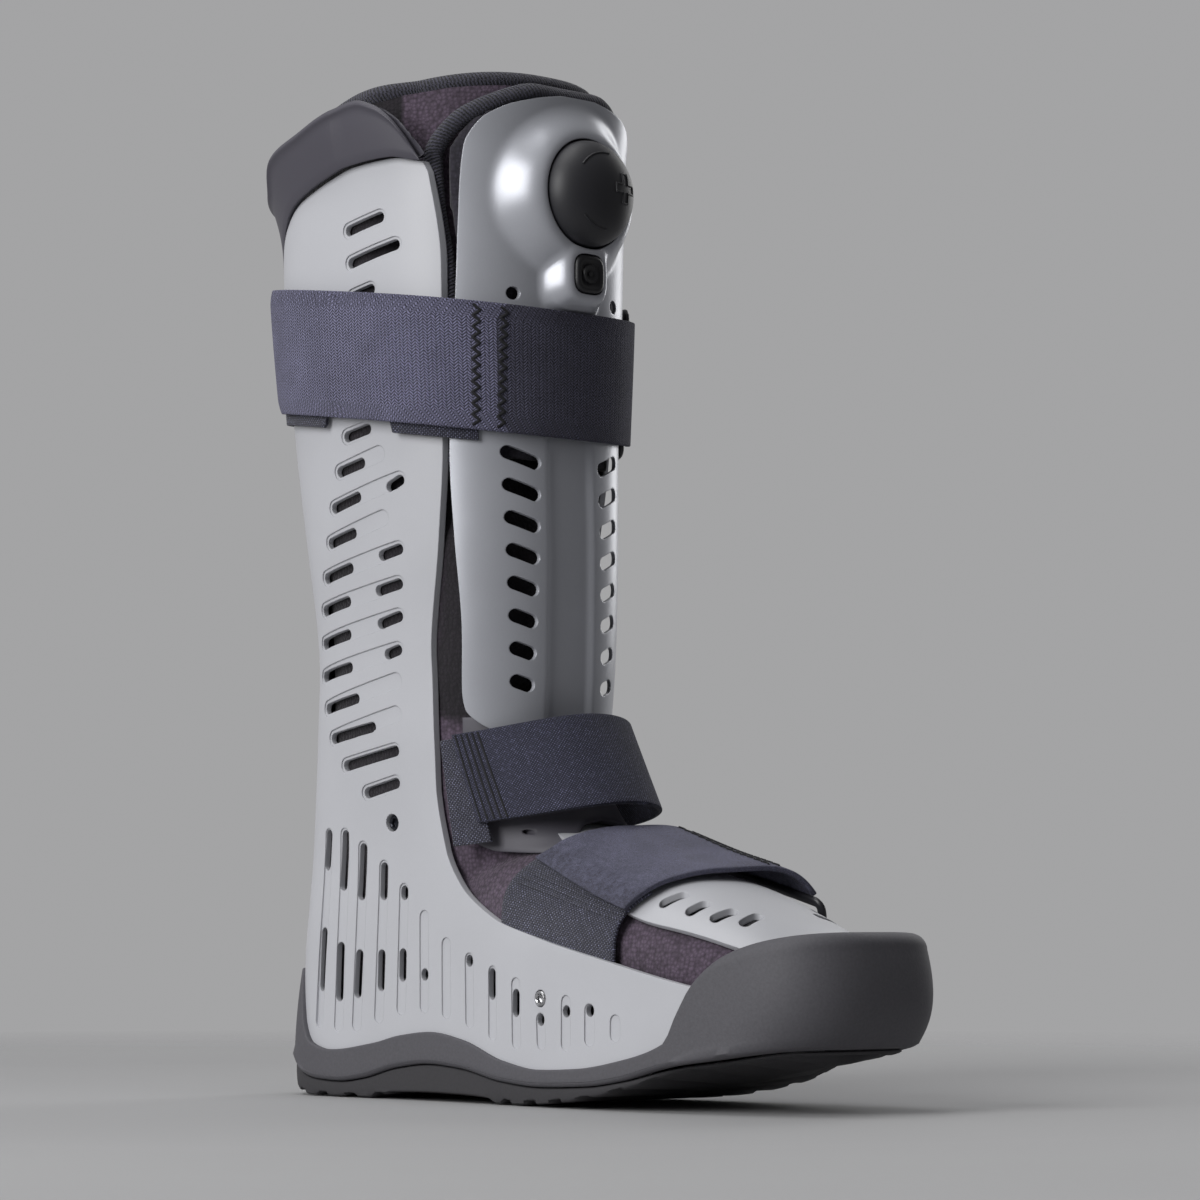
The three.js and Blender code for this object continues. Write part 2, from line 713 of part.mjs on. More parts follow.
function footStack(inset) {
  const rings = footSections.map((row, i) => {
    const end = i === 0 ? inset : i === footSections.length - 1 ? -inset : 0;
    const x = alongSole(row.along) + end;
    const top = row.top * shellHeight - inset;
    const bottom = row.bottom * shellHeight + inset;
    const half = row.half * soleWidth - inset;
    return around((angle) => {
      const y = half * power(Math.cos(angle), 2 / fullness);
      const z = mix(bottom, top, (1 + power(Math.sin(angle), 2 / fullness)) / 2);
      return new THREE.Vector3(x, y, z);
    });
  });
  return stack(rings);
}

function makeLiner() {
  const inner = legStack([0.14, ...linerLevels.slice(1), 1.1], linerWall).add(footStack(linerWall));
  const floorTop = floorHeight + basePlate + 2 * clearance;
  const under = [floorTop, floorTop].map((z, i) => [alongSole(i * 1.1 - 0.05), z]);
  const rim = [-1, 1].map((side) => [side * calfDepth, linerRimAt(side * calfDepth)]);
  return linerBody(0)
    .subtract(beyond(under, farBelow))
    .subtract(beyond(rim, farAbove * 1.2))
    .subtract(padRoom())
    .subtract(inner);
}

const rimTilt = 0.12; // the liner's rim drops towards the heel
const linerRimAt = (x) => linerHeight + rimTilt * (x - 0.37 * calfDepth);

// A round-edged roll along a closed or open line of points
function rollOf(points, width, closed) {
  const curve = new THREE.CatmullRomCurve3(points, closed, "centripetal");
  if (closed) return solidOf(new THREE.TubeGeometry(curve, points.length, width / 2, 6, true));
  const section = new THREE.Shape(
    roundOutline(0, 0, width / 2, 6).map(([a, b]) => new THREE.Vector2(a, b)),
  );
  const steps = Math.round(points.length * 1.4);
  return solidOf(new THREE.ExtrudeGeometry(section, { steps, extrudePath: curve, bevelEnabled: false }));
}

function makeLinerBinding() {
  const lift = bindingWidth / 2 + clearance;
  const points = around((angle) => {
    const point = legPoint(shellHeight, angle, linerOffset(shellHeight, angle) - linerWall / 2);
    point.z = linerRimAt(point.x) + lift;
    return point;
  });
  return rollOf(points, bindingWidth, true);
}

// Front pad behind the shin panel

const padOutline = [
  { height: 0.65, half: 0.36 },
  { height: 0.76, half: 0.375 },
  { height: 0.86, half: 0.395 },
  { height: 0.92, half: 0.415 },
  { height: 0.96, half: 0.42 },
  { height: 0.995, half: 0.385 },
  { height: 1.015, half: 0.3 },
  { height: 1.028, half: 0.16 },
];
const padHalfAt = (z) => read(padOutline, "height", "half", z / shellHeight) * calfWidth;
const padOuter = -panelWall - 2.5 * clearance;

const padShare = [-1, -0.75, -0.5, -0.28, 0, 0.28, 0.5, 0.75, 1];

function padRow(level, offset, trim, drop) {
  const half = padHalfAt(level * shellHeight) - trim;
  return padShare.map((part) => panelPoint(level * shellHeight - drop, part * half, offset));
}

function padWallOf(outer, inner, trim, drop) {
  const rows = (offset) => padLevels.map((level) => padRow(level, offset, trim, drop));
  return wall(rows(outer), rows(inner));
}

const makePad = () =>
  padWallOf(padOuter, padOuter - padWall, bindingWidth * 0.9, bindingWidth).subtract(
    padRoll(bindingWidth + 2 * clearance),
  );

// The room that the pad and its binding take in front of the liner
function padRoom() {
  const depth = padOuter - bindingWidth - 2 * clearance;
  return padWallOf(bulbReach, depth, -1.5, -bindingWidth).add(
    padWallOf(bulbReach, depth, -1.5, bindingWidth * 1.3),
  );
}

// The roll along the pad's sides and over its top
function padRoll(width) {
  const place = (level, side) => {
    const y = side * (padHalfAt(level * shellHeight) - bindingWidth / 2);
    return panelPoint(level * shellHeight - bindingWidth / 2, y, padOuter - bindingWidth / 2);
  };
  const right = padLevels.map((level) => place(level, -1));
  const left = padLevels.map((level) => place(level, 1)).reverse();
  return rollOf([...right, ...left], width, false);
}

// Shin panel: a bent plate with a sunk channel, slots, and a raised pump housing

const panelOutline = [
  { height: 0.385, half: 0.31 },
  { height: 0.395, half: 0.345 },
  { height: 0.48, half: 0.358 },
  { height: 0.5625, half: 0.376 },
  { height: 0.65, half: 0.388 },
  { height: 0.72, half: 0.39 },
  { height: 0.76, half: 0.39 },
  { height: 0.915, half: 0.387 },
  { height: 0.96, half: 0.38 },
  { height: 0.985, half: 0.348 },
  { height: 1.0, half: 0.28 },
  { height: 1.01, half: 0.17 },
  { height: 1.015, half: 0.08 },
];
const panelLip = 3; // how far the panel's top leans out

function panelPoint(z, y, offset) {
  const level = z / shellHeight;
  const sunk = 1 - THREE.MathUtils.smoothstep(Math.abs(y), channelWidth / 2 - 2, channelWidth / 2 + 1);
  const fade = 1 - THREE.MathUtils.smoothstep(level, 0.68, 0.75);
  const lean = panelLip * THREE.MathUtils.smoothstep(level, 0.93, 1.015) ** 2;
  return new THREE.Vector3(frontReach(z, y, offset) - channelDepth * sunk * fade + lean, y, z);
}

function panelRow(row, offset) {
  const half = row.half * calfWidth;
  const channel = Math.min(channelWidth / 2 + 1, half * 0.4);
  const side = range(4, (t) => mix(channel, half, t ** 0.8));
  const places = [0, channel - 3.5 * (channel / half) * 2, ...side];
  const all = [...places.slice(1).reverse().map((y) => -y), ...places];
  return all.map((y) => panelPoint(row.height * shellHeight, y, offset));
}

const bulbSeat = 0.483 * calfDepth; // leg axis to the floor of the bulb's pocket

// Profiles turned about the boot's front axis: radius, then reach
function turned(profile, height, sides) {
  const points = profile.map(([radius, reach]) => new THREE.Vector2(radius, reach));
  const geometry = new THREE.LatheGeometry(points, sides);
  geometry.rotateZ(-Math.PI / 2);
  geometry.translate(0, 0, height);
  return solidOf(geometry);
}

function squareRing(x, half, height, sides = 12) {
  return range(sides + 1, (t) => {
    const angle = t * 2 * Math.PI;
    const y = half * power(Math.cos(angle), 0.55);
    return new THREE.Vector3(x, y, height + half * power(Math.sin(angle), 0.55));
  }).slice(0, -1);
}

const housingDepth = 6.5; // pump housing's rim above the pocket's floor
const valvePocket = 4.5;

function makePanel() {
  const levels = panelOutline;
  const plate = wall(
    levels.map((row) => panelRow(row, 1)),
    levels.map((row) => panelRow(row, 1 - panelWall)),
  );
  const rim = bulbSeat + housingDepth;
  const housing = turned(
    [
      [0, 0.3 * calfDepth],
      [bulbRadius * 1.62, 0.3 * calfDepth],
      [bulbRadius * 1.62, 0.37 * calfDepth],
      [bulbRadius * 1.36, rim - 8],
      [bulbRadius * 1.12, rim],
      [0, rim],
    ],
    bulbHeight,
    20,
  );
  const valveRim = valveReach - 1.5;
  const valveHousing = stack([
    squareRing(0.3 * calfDepth, valveSize * 0.64, valveHeight),
    squareRing(valveRim - 3, valveSize * 0.64, valveHeight),
    squareRing(valveRim, valveSize * 0.58, valveHeight),
  ]);
  const inside = stack(
    [0.7, 0.84, 1.08].map((level) =>
      around((angle) => legPoint(level * shellHeight, angle, -panelWall / 10, true)),
    ),
  );
  const pocket = turned(
    [
      [0, bulbSeat],
      [bulbRadius + clearance, bulbSeat],
      [bulbRadius + clearance, bulbReach],
      [0, bulbReach],
    ],
    bulbHeight,
    20,
  );
  const valveHole = stack([
    squareRing(valveReach - valvePocket - clearance, valveSize / 2 + clearance, valveHeight),
    squareRing(bulbReach, valveSize / 2 + clearance, valveHeight),
  ]);
  let panel = plate.add(housing.add(valveHousing).subtract(inside)).subtract(pocket).subtract(valveHole);
  range(panelSlots.count, (t, i) => {
    const z = (panelSlots.top - i * panelSlots.pitch) * shellHeight;
    const outer = (panelSlots.outer - i * panelSlots.taper) * calfWidth;
    const inner = panelSlots.inner * calfWidth;
    const low = z - ((outer - inner) * panelSlots.rise) / 2;
    const high = z + ((outer - inner) * panelSlots.rise) / 2;
    [-1, 1].forEach((side) => {
      const points = slotOutline(side * inner, low, side * outer, high, panelSlotWidth);
      panel = panel.subtract(prism(points, forwards, 0, bulbReach));
    });
  });
  [-1, 1].forEach((side) => {
    const hole = roundOutline(side * 0.233 * calfWidth, 0.81 * shellHeight, panelSlotWidth * 0.6, 8);
    panel = panel.subtract(prism(hole, forwards, 0, bulbReach));
  });
  return panel.subtract(shellGuard(edgeGap));
}

const edgeGap = 0.8; // between the shell's front edge and what lies before it

// The shell's wall grown by a margin, to clear what comes near its edge
function shellGuard(margin) {
  const rows = (offset) =>
    shellLevels.map((level) => {
      const z = level * shellHeight;
      return shellRow(z, offset, shellEdgeAt(z) + margin);
    });
  return wall(rows(margin), rows(-shellWall - margin));
}

// Pump and valve

function makeBulb() {
  const collar = bulbSeat + clearance;
  const crown = bulbReach - collar - housingDepth;
  const dome = range(6, (t) => {
    const angle = (t * Math.PI) / 2;
    return [bulbRadius * Math.cos(angle), collar + housingDepth + crown * Math.sin(angle)];
  });
  dome[dome.length - 1][0] = 0;
  return turned([[0, collar], [bulbRadius, collar], ...dome], bulbHeight, 20);
}

const buttonRadius = valveSize * 0.27;

function makeValveBezel() {
  const back = valveReach - valvePocket;
  const body = stack([
    squareRing(back, valveSize / 2, valveHeight),
    squareRing(valveReach - 1.2, valveSize / 2, valveHeight),
    squareRing(valveReach, valveSize / 2 - 1.2, valveHeight),
  ]);
  const bore = turned(
    [
      [0, back - 1],
      [buttonRadius + clearance, back - 1],
      [buttonRadius + clearance, valveReach + 1],
      [0, valveReach + 1],
    ],
    valveHeight,
    12,
  );
  return body.subtract(bore);
}

function makeValveButton() {
  const back = valveReach - valvePocket;
  return turned(
    [
      [0, back],
      [buttonRadius, back],
      [buttonRadius, valveReach - 1.2],
      [buttonRadius * 0.8, valveReach - 0.6],
      [0, valveReach - 1.3],
    ],
    valveHeight,
    12,
  );
}

// Soft tongue end below the shin panel

const flangeOutline = [
  { across: 0.0, low: 0.28 },
  { across: 0.25, low: 0.276 },
  { across: 0.5, low: 0.26 },
  { across: 0.75, low: 0.246 },
  { across: 0.92, low: 0.248 },
  { across: 1.0, low: 0.262 },
];
const flangeHalf = 0.3; // of the calf's width
const flangeTop = 0.383;
const flangeWall = 2.6;

function flangeGrid(offset, drop) {
  return range(4, (t) =>
    range(11, (u) => {
      const y = mix(-1, 1, u) * flangeHalf * calfWidth;
      const low = read(flangeOutline, "across", "low", Math.abs(mix(-1, 1, u)));
      const z = mix(low * shellHeight - drop, flangeTop * shellHeight, t);
      return new THREE.Vector3(frontReach(z, y, offset, false), y, z);
    }),
  );
}

// What the flange keeps free behind itself
const flangeRoom = () => wall(flangeGrid(0.6 + edgeGap, edgeGap), flangeGrid(-4 * flangeWall, edgeGap));

function makeFlange() {
  const rows = (offset) => flangeGrid(offset, 0);
  return wall(rows(0.6), rows(0.6 - flangeWall))
    .subtract(linerBody(clearance))
    .subtract(shellGuard(edgeGap));
}

// The liner's outer body, grown by a margin
const linerBody = (grow) => legStack(linerLevels, -grow).add(footStack(-grow));

// Forefoot panel

const footPanelOutline = [
  { along: 0.505, half: 0.15 },
  { along: 0.545, half: 0.21 },
  { along: 0.61, half: 0.27 },
  { along: 0.67, half: 0.38 },
  { along: 0.73, half: 0.398 },
  { along: 0.842, half: 0.352 },
  { along: 0.905, half: 0.28 },
  { along: 0.945, half: 0.16 },
];
const footPanelWall = 2.4;
const footPanelSlots = { count: 4, first: 0.69, pitch: 0.034, inner: 0.16, outer: 0.29, rise: 0.03 };

// Top of the foot's form at a place, raised by offset
function footTop(x, y, offset) {
  const at = share(x);
  const top = read(footSections, "along", "top", at) * shellHeight + offset;
  const bottom = read(footSections, "along", "bottom", at) * shellHeight - offset;
  const half = read(footSections, "along", "half", at) * soleWidth + offset;
  const inside = 1 - Math.min(0.99, Math.abs(y) / half) ** fullness;
  return mix(bottom, top, (1 + inside ** (1 / fullness)) / 2);
}

function makeFootPanel() {
  const rows = (offset) =>
    footPanelOutline.map((row) => {
      const x = alongSole(row.along);
      return range(9, (t) => {
        const y = mix(-1, 1, t) * row.half * soleWidth;
        return new THREE.Vector3(x, y, footTop(x, y, offset));
      });
    });
  const gap = 0.8;
  const room = rimWall + 3.2;
  let panel = wall(rows(gap + footPanelWall), rows(gap))
    .subtract(linerBody(clearance))
    .intersect(stack([soleRing(0, room), soleRing(shellHeight, room)]))
    .subtract(flangeRoom());
  range(footPanelSlots.count, (t, i) => {
    const x = alongSole(footPanelSlots.first + i * footPanelSlots.pitch);
    const ahead = x + footPanelSlots.rise * soleLength;
    [-1, 1].forEach((side) => {
      const inner = side * footPanelSlots.inner * soleWidth;
      const outer = side * footPanelSlots.outer * soleWidth;
      const points = slotOutline(x, outer, ahead, inner, slotWidth);
      const geometry = new THREE.ExtrudeGeometry(
        new THREE.Shape(points.map(([a, b]) => new THREE.Vector2(a, b))),
        { depth: shellHeight, bevelEnabled: false },
      );
      panel = panel.subtract(solidOf(geometry));
    });
  });
  return panel;
}

// Straps: a band is a wall between two grids, across its width and along it

function band(point, lengthSteps, inner, thickness) {
  const rows = (offset) => range(2, (s) => range(lengthSteps, (t) => point(t, s, offset)));
  return wall(rows(inner + thickness), rows(inner));
}

const degrees = THREE.MathUtils.degToRad;
const strapGap = 0.4; // between layers of straps

// Calf strap, lower in front than behind
const calfStrap = { middle: 0.754, tilt: -0.136, lift: 2.6 };

function calfPoint(from, to, drop) {
  return (t, s, offset) => {
    const angle = degrees(mix(from, to, t));
    const z = calfStrap.middle * shellHeight + mix(-0.5, 0.5, s) * strapWidth - drop;
    const point = legPoint(z, angle, offset);
    point.z += calfStrap.tilt * point.x;
    return point;
  };
}

// Ankle strap, on a cone that leans out over the instep
const ankleStrap = { low: 0.297, high: 0.387, centre: -0.139, back: -0.09, drop: 0.028 };

function anklePoint(from, to) {
  return (t, s, offset) => {
    const angle = degrees(mix(from, to, t));
    const centre = mix(ankleStrap.centre, ankleStrap.back, s) * calfDepth;
    const reach = mix(0.833, 0.639, s) * calfDepth + offset;
    const half = 0.385 * calfWidth + offset;
    const x = centre + reach * power(Math.cos(angle), 2 / fullness);
    const y = half * power(Math.sin(angle), 2 / fullness);
    const sag = ankleStrap.drop * (y / half) ** 2;
    return new THREE.Vector3(x, y, (mix(ankleStrap.low, ankleStrap.high, s) - sag) * shellHeight);
  };
}

// Forefoot strap, across the foot and a little skewed
const forefootStrap = { near: 0.508, skew: 0.06, lift: 7, fullness: 3 };

function forefootPoint(from, to) {
  return (t, s, offset) => {
    const angle = degrees(mix(from, to, t));
    const across = Math.sin(angle);
    const skewed = forefootStrap.near + forefootStrap.skew * (across + 1) * 0.5;
    const x = alongSole(skewed) + s * (strapWidth + 4);
    const at = share(x);
    const top = read(footSections, "along", "top", at) * shellHeight + offset;
    const bottom = read(footSections, "along", "bottom", at) * shellHeight;
    const half = read(footSections, "along", "half", at) * soleWidth + offset;
    const y = half * power(across, 2 / forefootStrap.fullness);
    const z = mix(bottom, top, (1 + power(Math.cos(angle), 2 / forefootStrap.fullness)) / 2);
    const lift = forefootStrap.lift * THREE.MathUtils.smoothstep(across, -0.5, 0.7);
    return new THREE.Vector3(x, y, z + lift);
  };
}

// A plastic loop: a flat frame with one long opening, stood in a strap's path
const loopBar = 4;
const loopThickness = 3;

function makeLoop(point, t, tilt) {
  const low = point(t, 0, 0);
  const high = point(t, 1, 0);
  const middle = low.clone().add(high).multiplyScalar(0.5);
  const up = high.clone().sub(low).normalize();
  const ahead = point(t + 0.02, 0.5, 0).sub(point(t - 0.02, 0.5, 0));
  ahead.addScaledVector(up, -ahead.dot(up)).normalize();
  const out = new THREE.Vector3().crossVectors(ahead, up).multiplyScalar(tilt);
  const frame = new THREE.Matrix4().makeBasis(up, new THREE.Vector3().crossVectors(out, up), out);
  frame.setPosition(middle.addScaledVector(out, loopThickness / 2 + strapThickness));
  const long = strapWidth / 2 + 2 + loopBar;
  const wide = 2.6 + loopBar;
  const outline = (a, b, r) => {
    const shape = new THREE.Shape();
    shape.moveTo(-a + r, -b);
    [[a, -b, a, -b + r], [a, b, a - r, b], [-a, b, -a, b - r], [-a, -b, -a + r, -b]].forEach((corner, i) => {
      const before = [[a - r, -b], [a, b - r], [-a + r, b], [-a, -b + r]][i];
      shape.lineTo(...before);
      shape.quadraticCurveTo(...corner);
    });
    return shape;
  };
  const shape = outline(long, wide, loopBar);
  shape.holes.push(outline(long - loopBar, wide - loopBar, 1));
  const options = { depth: loopThickness, bevelEnabled: false, curveSegments: 2 };
  const geometry = new THREE.ExtrudeGeometry(shape, options);
  geometry.translate(0, 0, -loopThickness / 2);
  geometry.applyMatrix4(frame);
  return solidOf(geometry);
}

// Screws, their heads a little under the shell's face

function makeScrew(screw, side, radius, proud) {
  const { x, z } = screwPlace(screw);
  const face = shellHalf(x, z);
  const head = radius - clearance;
  const outer = prism(roundOutline(x, z, head), sideways, -1, 1);
  const length = shellWall + proud - clearance;
  const bolt = outer.scale([1, length / 2, 1]).translate([0, side * (face - length / 2 + proud), 0]);
  const hex = prism(roundOutline(x, z, head * 0.5, 6), sideways, -1, 1);
  return bolt.subtract(hex.translate([0, side * (face + proud), 0]));
}

// Looks of the pieces

const looks = {
  shell: { color: 0xbcbec6, roughness: 0.45, metalness: 0 },
  collar: { color: 0x67676b, roughness: 0.6, metalness: 0 },
  sole: { color: 0x5c5b5e, roughness: 0.75, metalness: 0 },
  tread: { color: 0x3c3b3d, roughness: 0.85, metalness: 0 },
  knit: { color: 0x5b4e57, roughness: 0.95, metalness: 0 },
  binding: { color: 0x2d2d33, roughness: 0.95, metalness: 0 },
  panel: { color: 0x9a9ba0, roughness: 0.35, metalness: 0.4 },
  rubber: { color: 0x333336, roughness: 0.6, metalness: 0 },
  strap: { color: 0x4a4d5c, roughness: 0.9, metalness: 0 },
  pile: { color: 0x3b3d4a, roughness: 1, metalness: 0 },
  plastic: { color: 0x2b2b2e, roughness: 0.4, metalness: 0 },
  screw: { color: 0xa8a8ac, roughness: 0.3, metalness: 0.9 },
};

const baseOffset = 2; // strap bases stand off the shell
const topOffset = baseOffset + pileThickness + strapGap;
const ankleOffset = -1.2;
const forefootOffset = 1.8;

const calfTop = calfPoint(-148, 48, 0);
const calfBase = calfPoint(-294, -38, 0.011 * shellHeight);
const ankleTop = anklePoint(-62, 62);
const ankleBase = anklePoint(-69.6, -30);
const forefootTop = forefootPoint(-58, 62);
const forefootBase = forefootPoint(-80, -40);

const pieces = [
  ["midsole", makeMidsole(), "sole"],
  ["outsole", makeOutsole(), "tread"],
  ["rear_shell", makeShell(), "shell"],
  ["cuff_flare", makeCollar(), "collar"],
  ["liner", makeLiner(), "knit"],
  ["liner_binding", makeLinerBinding(), "binding"],
  ["front_pad", makePad(), "knit"],
  ["front_pad_binding", padRoll(bindingWidth), "binding"],
  ["front_panel", makePanel(), "panel"],
  ["pump_bulb", makeBulb(), "rubber"],
  ["valve_bezel", makeValveBezel(), "rubber"],
  ["valve_button", makeValveButton(), "rubber"],
  ["ankle_flange", makeFlange(), "collar"],
  ["foot_panel", makeFootPanel(), "shell"],
  ["calf_strap", band(calfTop, 24, topOffset, strapThickness), "strap"],
  ["calf_strap_base", band(calfBase, 28, baseOffset, pileThickness), "pile"],
  ["ankle_strap", band(ankleTop, 16, ankleOffset + pileThickness + strapGap, strapThickness), "strap"],
  ["ankle_strap_base", band(ankleBase, 10, ankleOffset, pileThickness), "pile"],
  ["forefoot_strap", band(forefootTop, 16, forefootOffset + pileThickness + strapGap, strapThickness), "strap"],
  ["forefoot_strap_base", band(forefootBase, 8, forefootOffset, pileThickness), "pile"],
  ["calf_loop", makeLoop(calfTop, 1.04, 1), "plastic"],
  ["ankle_loop", makeLoop(ankleTop, 1.034, 1), "plastic"],
  ["forefoot_loop", makeLoop(forefootTop, 1.08, -1), "plastic"],
  ["ankle_screw_right", makeScrew(ankleScrew, -1, ankleScrewRadius, -1), "screw"],
  ["ankle_screw_left", makeScrew(ankleScrew, 1, ankleScrewRadius, -1), "screw"],
  ["foot_screw_right", makeScrew(footScrew, -1, footScrewRadius, 0.5), "screw"],
  ["foot_screw_left", makeScrew(footScrew, 1, footScrewRadius, 0.5), "screw"],
];

const boot = new THREE.Group();
boot.name = "walking_boot";
pieces.forEach(([name, solid, look]) => boot.add(meshOf(name, solid, looks[look])));

export default boot;
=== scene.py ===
import math
import bpy
import numpy as np
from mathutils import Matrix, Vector


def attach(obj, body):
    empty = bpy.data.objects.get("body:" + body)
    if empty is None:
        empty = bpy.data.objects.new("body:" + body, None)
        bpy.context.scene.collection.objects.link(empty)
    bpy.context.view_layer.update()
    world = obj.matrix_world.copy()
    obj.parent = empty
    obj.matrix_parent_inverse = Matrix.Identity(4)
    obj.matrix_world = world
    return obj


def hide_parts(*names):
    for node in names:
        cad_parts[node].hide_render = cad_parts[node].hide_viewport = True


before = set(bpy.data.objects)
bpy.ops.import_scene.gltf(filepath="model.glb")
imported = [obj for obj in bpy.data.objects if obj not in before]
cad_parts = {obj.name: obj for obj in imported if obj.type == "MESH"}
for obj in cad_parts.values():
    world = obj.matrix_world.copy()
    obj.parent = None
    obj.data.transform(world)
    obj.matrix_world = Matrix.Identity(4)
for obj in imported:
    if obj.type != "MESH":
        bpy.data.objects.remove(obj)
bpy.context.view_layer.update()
mm = 0.001

# Driving sizes of the boot, in millimetres
shellHeight = 400
linerHeight = 412
soleLength = 319
heelBack = 82
soleWidth = 104
calfDepth = 144
calfWidth = 120
bumperHeight = 68
treadHeight = 22
fullness = 2.5
bulbRadius = 21.8
bulbHeight = 366
bulbReach = 90
bulbSeat = 0.483 * calfDepth
housingRim = bulbSeat + 6.5
valveHeight = 333
valveReach = 78
valveSize = 15.5


# Maths

def power(value, exponent):
    return np.sign(value) * np.abs(value) ** exponent


def smoothStep(value, low, high):
    t = np.clip((np.asarray(value, float) - low) / (high - low), 0, 1)
    return t * t * (3 - 2 * t)


def curveOf(places, values):
    # Smooth curve through a table's column, with no overshoot
    x = np.asarray(places, float)
    y = np.asarray(values, float)
    step = np.diff(y) / np.diff(x)
    before, after = step[:-1], step[1:]
    total = np.where(before + after == 0, 1, before + after)
    inner = np.where(before * after <= 0, 0, 2 * before * after / total)
    slope = np.concatenate([step[:1], inner, step[-1:]])

    def at(place):
        place = np.clip(np.asarray(place, float), x[0], x[-1])
        i = np.clip(np.searchsorted(x, place, side="right") - 1, 0, len(x) - 2)
        width = x[i + 1] - x[i]
        t = (place - x[i]) / width
        rise = y[i + 1] - y[i]
        a = slope[i] * width - rise
        b = rise - slope[i + 1] * width
        return y[i] + rise * t + t * (1 - t) * (a * (1 - t) + b * t)

    return at


def table(names, rows):
    names = names.split()
    columns = list(zip(*rows))
    return {name: curveOf(columns[0], columns[i]) for i, name in enumerate(names) if i}


legSections = table("height centre back front half panel panelHalf", [
    (0.0, -0.222, 0.313, 1.3, 0.325, 1.1, 0.4),
    (0.14, -0.215, 0.309, 1.2, 0.321, 1.0, 0.4),
    (0.2, -0.194, 0.313, 1.05, 0.321, 0.9, 0.4),
    (0.3, -0.139, 0.34, 0.67, 0.346, 0.66, 0.42),
    (0.37, -0.097, 0.361, 0.552, 0.363, 0.545, 0.438),
    (0.44, -0.069, 0.375, 0.486, 0.376, 0.524, 0.45),
    (0.48, -0.06, 0.389, 0.482, 0.388, 0.517, 0.455),
    (0.56, -0.049, 0.424, 0.486, 0.425, 0.507, 0.46),
    (0.68, -0.042, 0.472, 0.486, 0.467, 0.492, 0.472),
    (0.845, -0.042, 0.514, 0.489, 0.5, 0.493, 0.5),
    (1.0, -0.042, 0.524, 0.493, 0.508, 0.5, 0.508),
    (1.1, -0.042, 0.528, 0.493, 0.508, 0.5, 0.508),
])
solePlan = table("along half", [
    (0.0, 0.404), (0.139, 0.404), (0.26, 0.399), (0.385, 0.413), (0.51, 0.457),
    (0.636, 0.495), (0.748, 0.5), (0.86, 0.462), (1.0, 0.445),
])
shellEdge = table("height along", [
    (0.116, 0.826), (0.142, 0.675), (0.162, 0.557), (0.181, 0.465), (0.214, 0.394), (0.252, 0.362),
    (0.32, 0.344), (0.44, 0.343), (0.562, 0.368), (0.66, 0.382), (0.84, 0.388), (0.94, 0.373), (1.0, 0.352),
])
rimProfile = table("along top", [
    (-0.02, 0.77), (0.044, 0.765), (0.06, 0.6), (0.076, 0.42), (0.101, 0.316), (0.145, 0.279),
    (0.227, 0.324), (0.28, 0.375), (0.34, 0.4), (0.4, 0.362), (0.486, 0.25), (0.56, 0.207),
    (0.637, 0.221), (0.71, 0.272),
    (0.785, 0.376), (0.804, 0.54), (0.826, 0.715), (0.864, 0.865), (0.902, 0.925), (0.95, 0.965),
    (0.985, 0.985), (1.03, 1.0),
])
treadProfile = table("along top bottom", [
    (-0.02, 0.77, 0.36), (0.05, 0.62, 0.14), (0.08, 0.4, 0.02), (0.117, 0.295, 0.0), (0.164, 0.264, 0.0),
    (0.211, 0.341, 0.0), (0.275, 0.55, 0.0), (0.338, 0.636, 0.0), (0.4, 0.58, 0.0), (0.486, 0.386, 0.0),
    (0.56, 0.318, 0.03), (0.653, 0.364, 0.16), (0.716, 0.48, 0.3), (0.789, 0.73, 0.46), (0.861, 0.88, 0.65),
    (0.92, 0.99, 0.78), (0.957, 1.04, 0.85), (1.0, 1.06, 0.9), (1.03, 1.06, 0.92),
])
footSections = table("along top bottom half", [
    (0.12, 0.2, 0.042, 0.25), (0.26, 0.29, 0.042, 0.315), (0.38, 0.292, 0.042, 0.335),
    (0.511, 0.266, 0.042, 0.385), (0.67, 0.224, 0.042, 0.415), (0.757, 0.205, 0.042, 0.41),
    (0.842, 0.178, 0.058, 0.37), (0.905, 0.153, 0.068, 0.3), (0.94, 0.13, 0.078, 0.22),
    (0.955, 0.115, 0.09, 0.12),
])
panelHalfOf = table("height half", [
    (0.365, 0.2), (0.368, 0.26), (0.376, 0.305), (0.39, 0.338), (0.41, 0.348), (0.48, 0.358),
    (0.5625, 0.376), (0.65, 0.388), (0.72, 0.39), (0.76, 0.39), (0.915, 0.387), (0.96, 0.38),
    (0.985, 0.348), (1.0, 0.28),
    (1.01, 0.17), (1.015, 0.08),
])
footPanelHalf = table("along half", [
    (0.45, 0.1), (0.46, 0.16), (0.505, 0.2), (0.545, 0.24), (0.61, 0.32), (0.67, 0.385), (0.73, 0.398),
    (0.842, 0.352), (0.905, 0.28), (0.945, 0.16),
])
heelRound = 0.139
toeRound = 0.16


def alongSole(part):
    return part * soleLength - heelBack


def share(x):
    return (np.asarray(x, float) + heelBack) / soleLength


def leg(column, z):
    scale = calfWidth if "alf" in column else calfDepth
    return legSections[column](np.asarray(z, float) / shellHeight) * scale


def legPoint(z, angle, offset):
    reach = leg("front", z)
    half = leg("half", z)
    depth = np.where(np.cos(angle) > 0, reach, leg("back", z)) + offset
    x = leg("centre", z) + depth * power(np.cos(angle), 2 / fullness)
    y = (half + offset) * power(np.sin(angle), 2 / fullness)
    return np.stack(np.broadcast_arrays(x, y, z), -1)


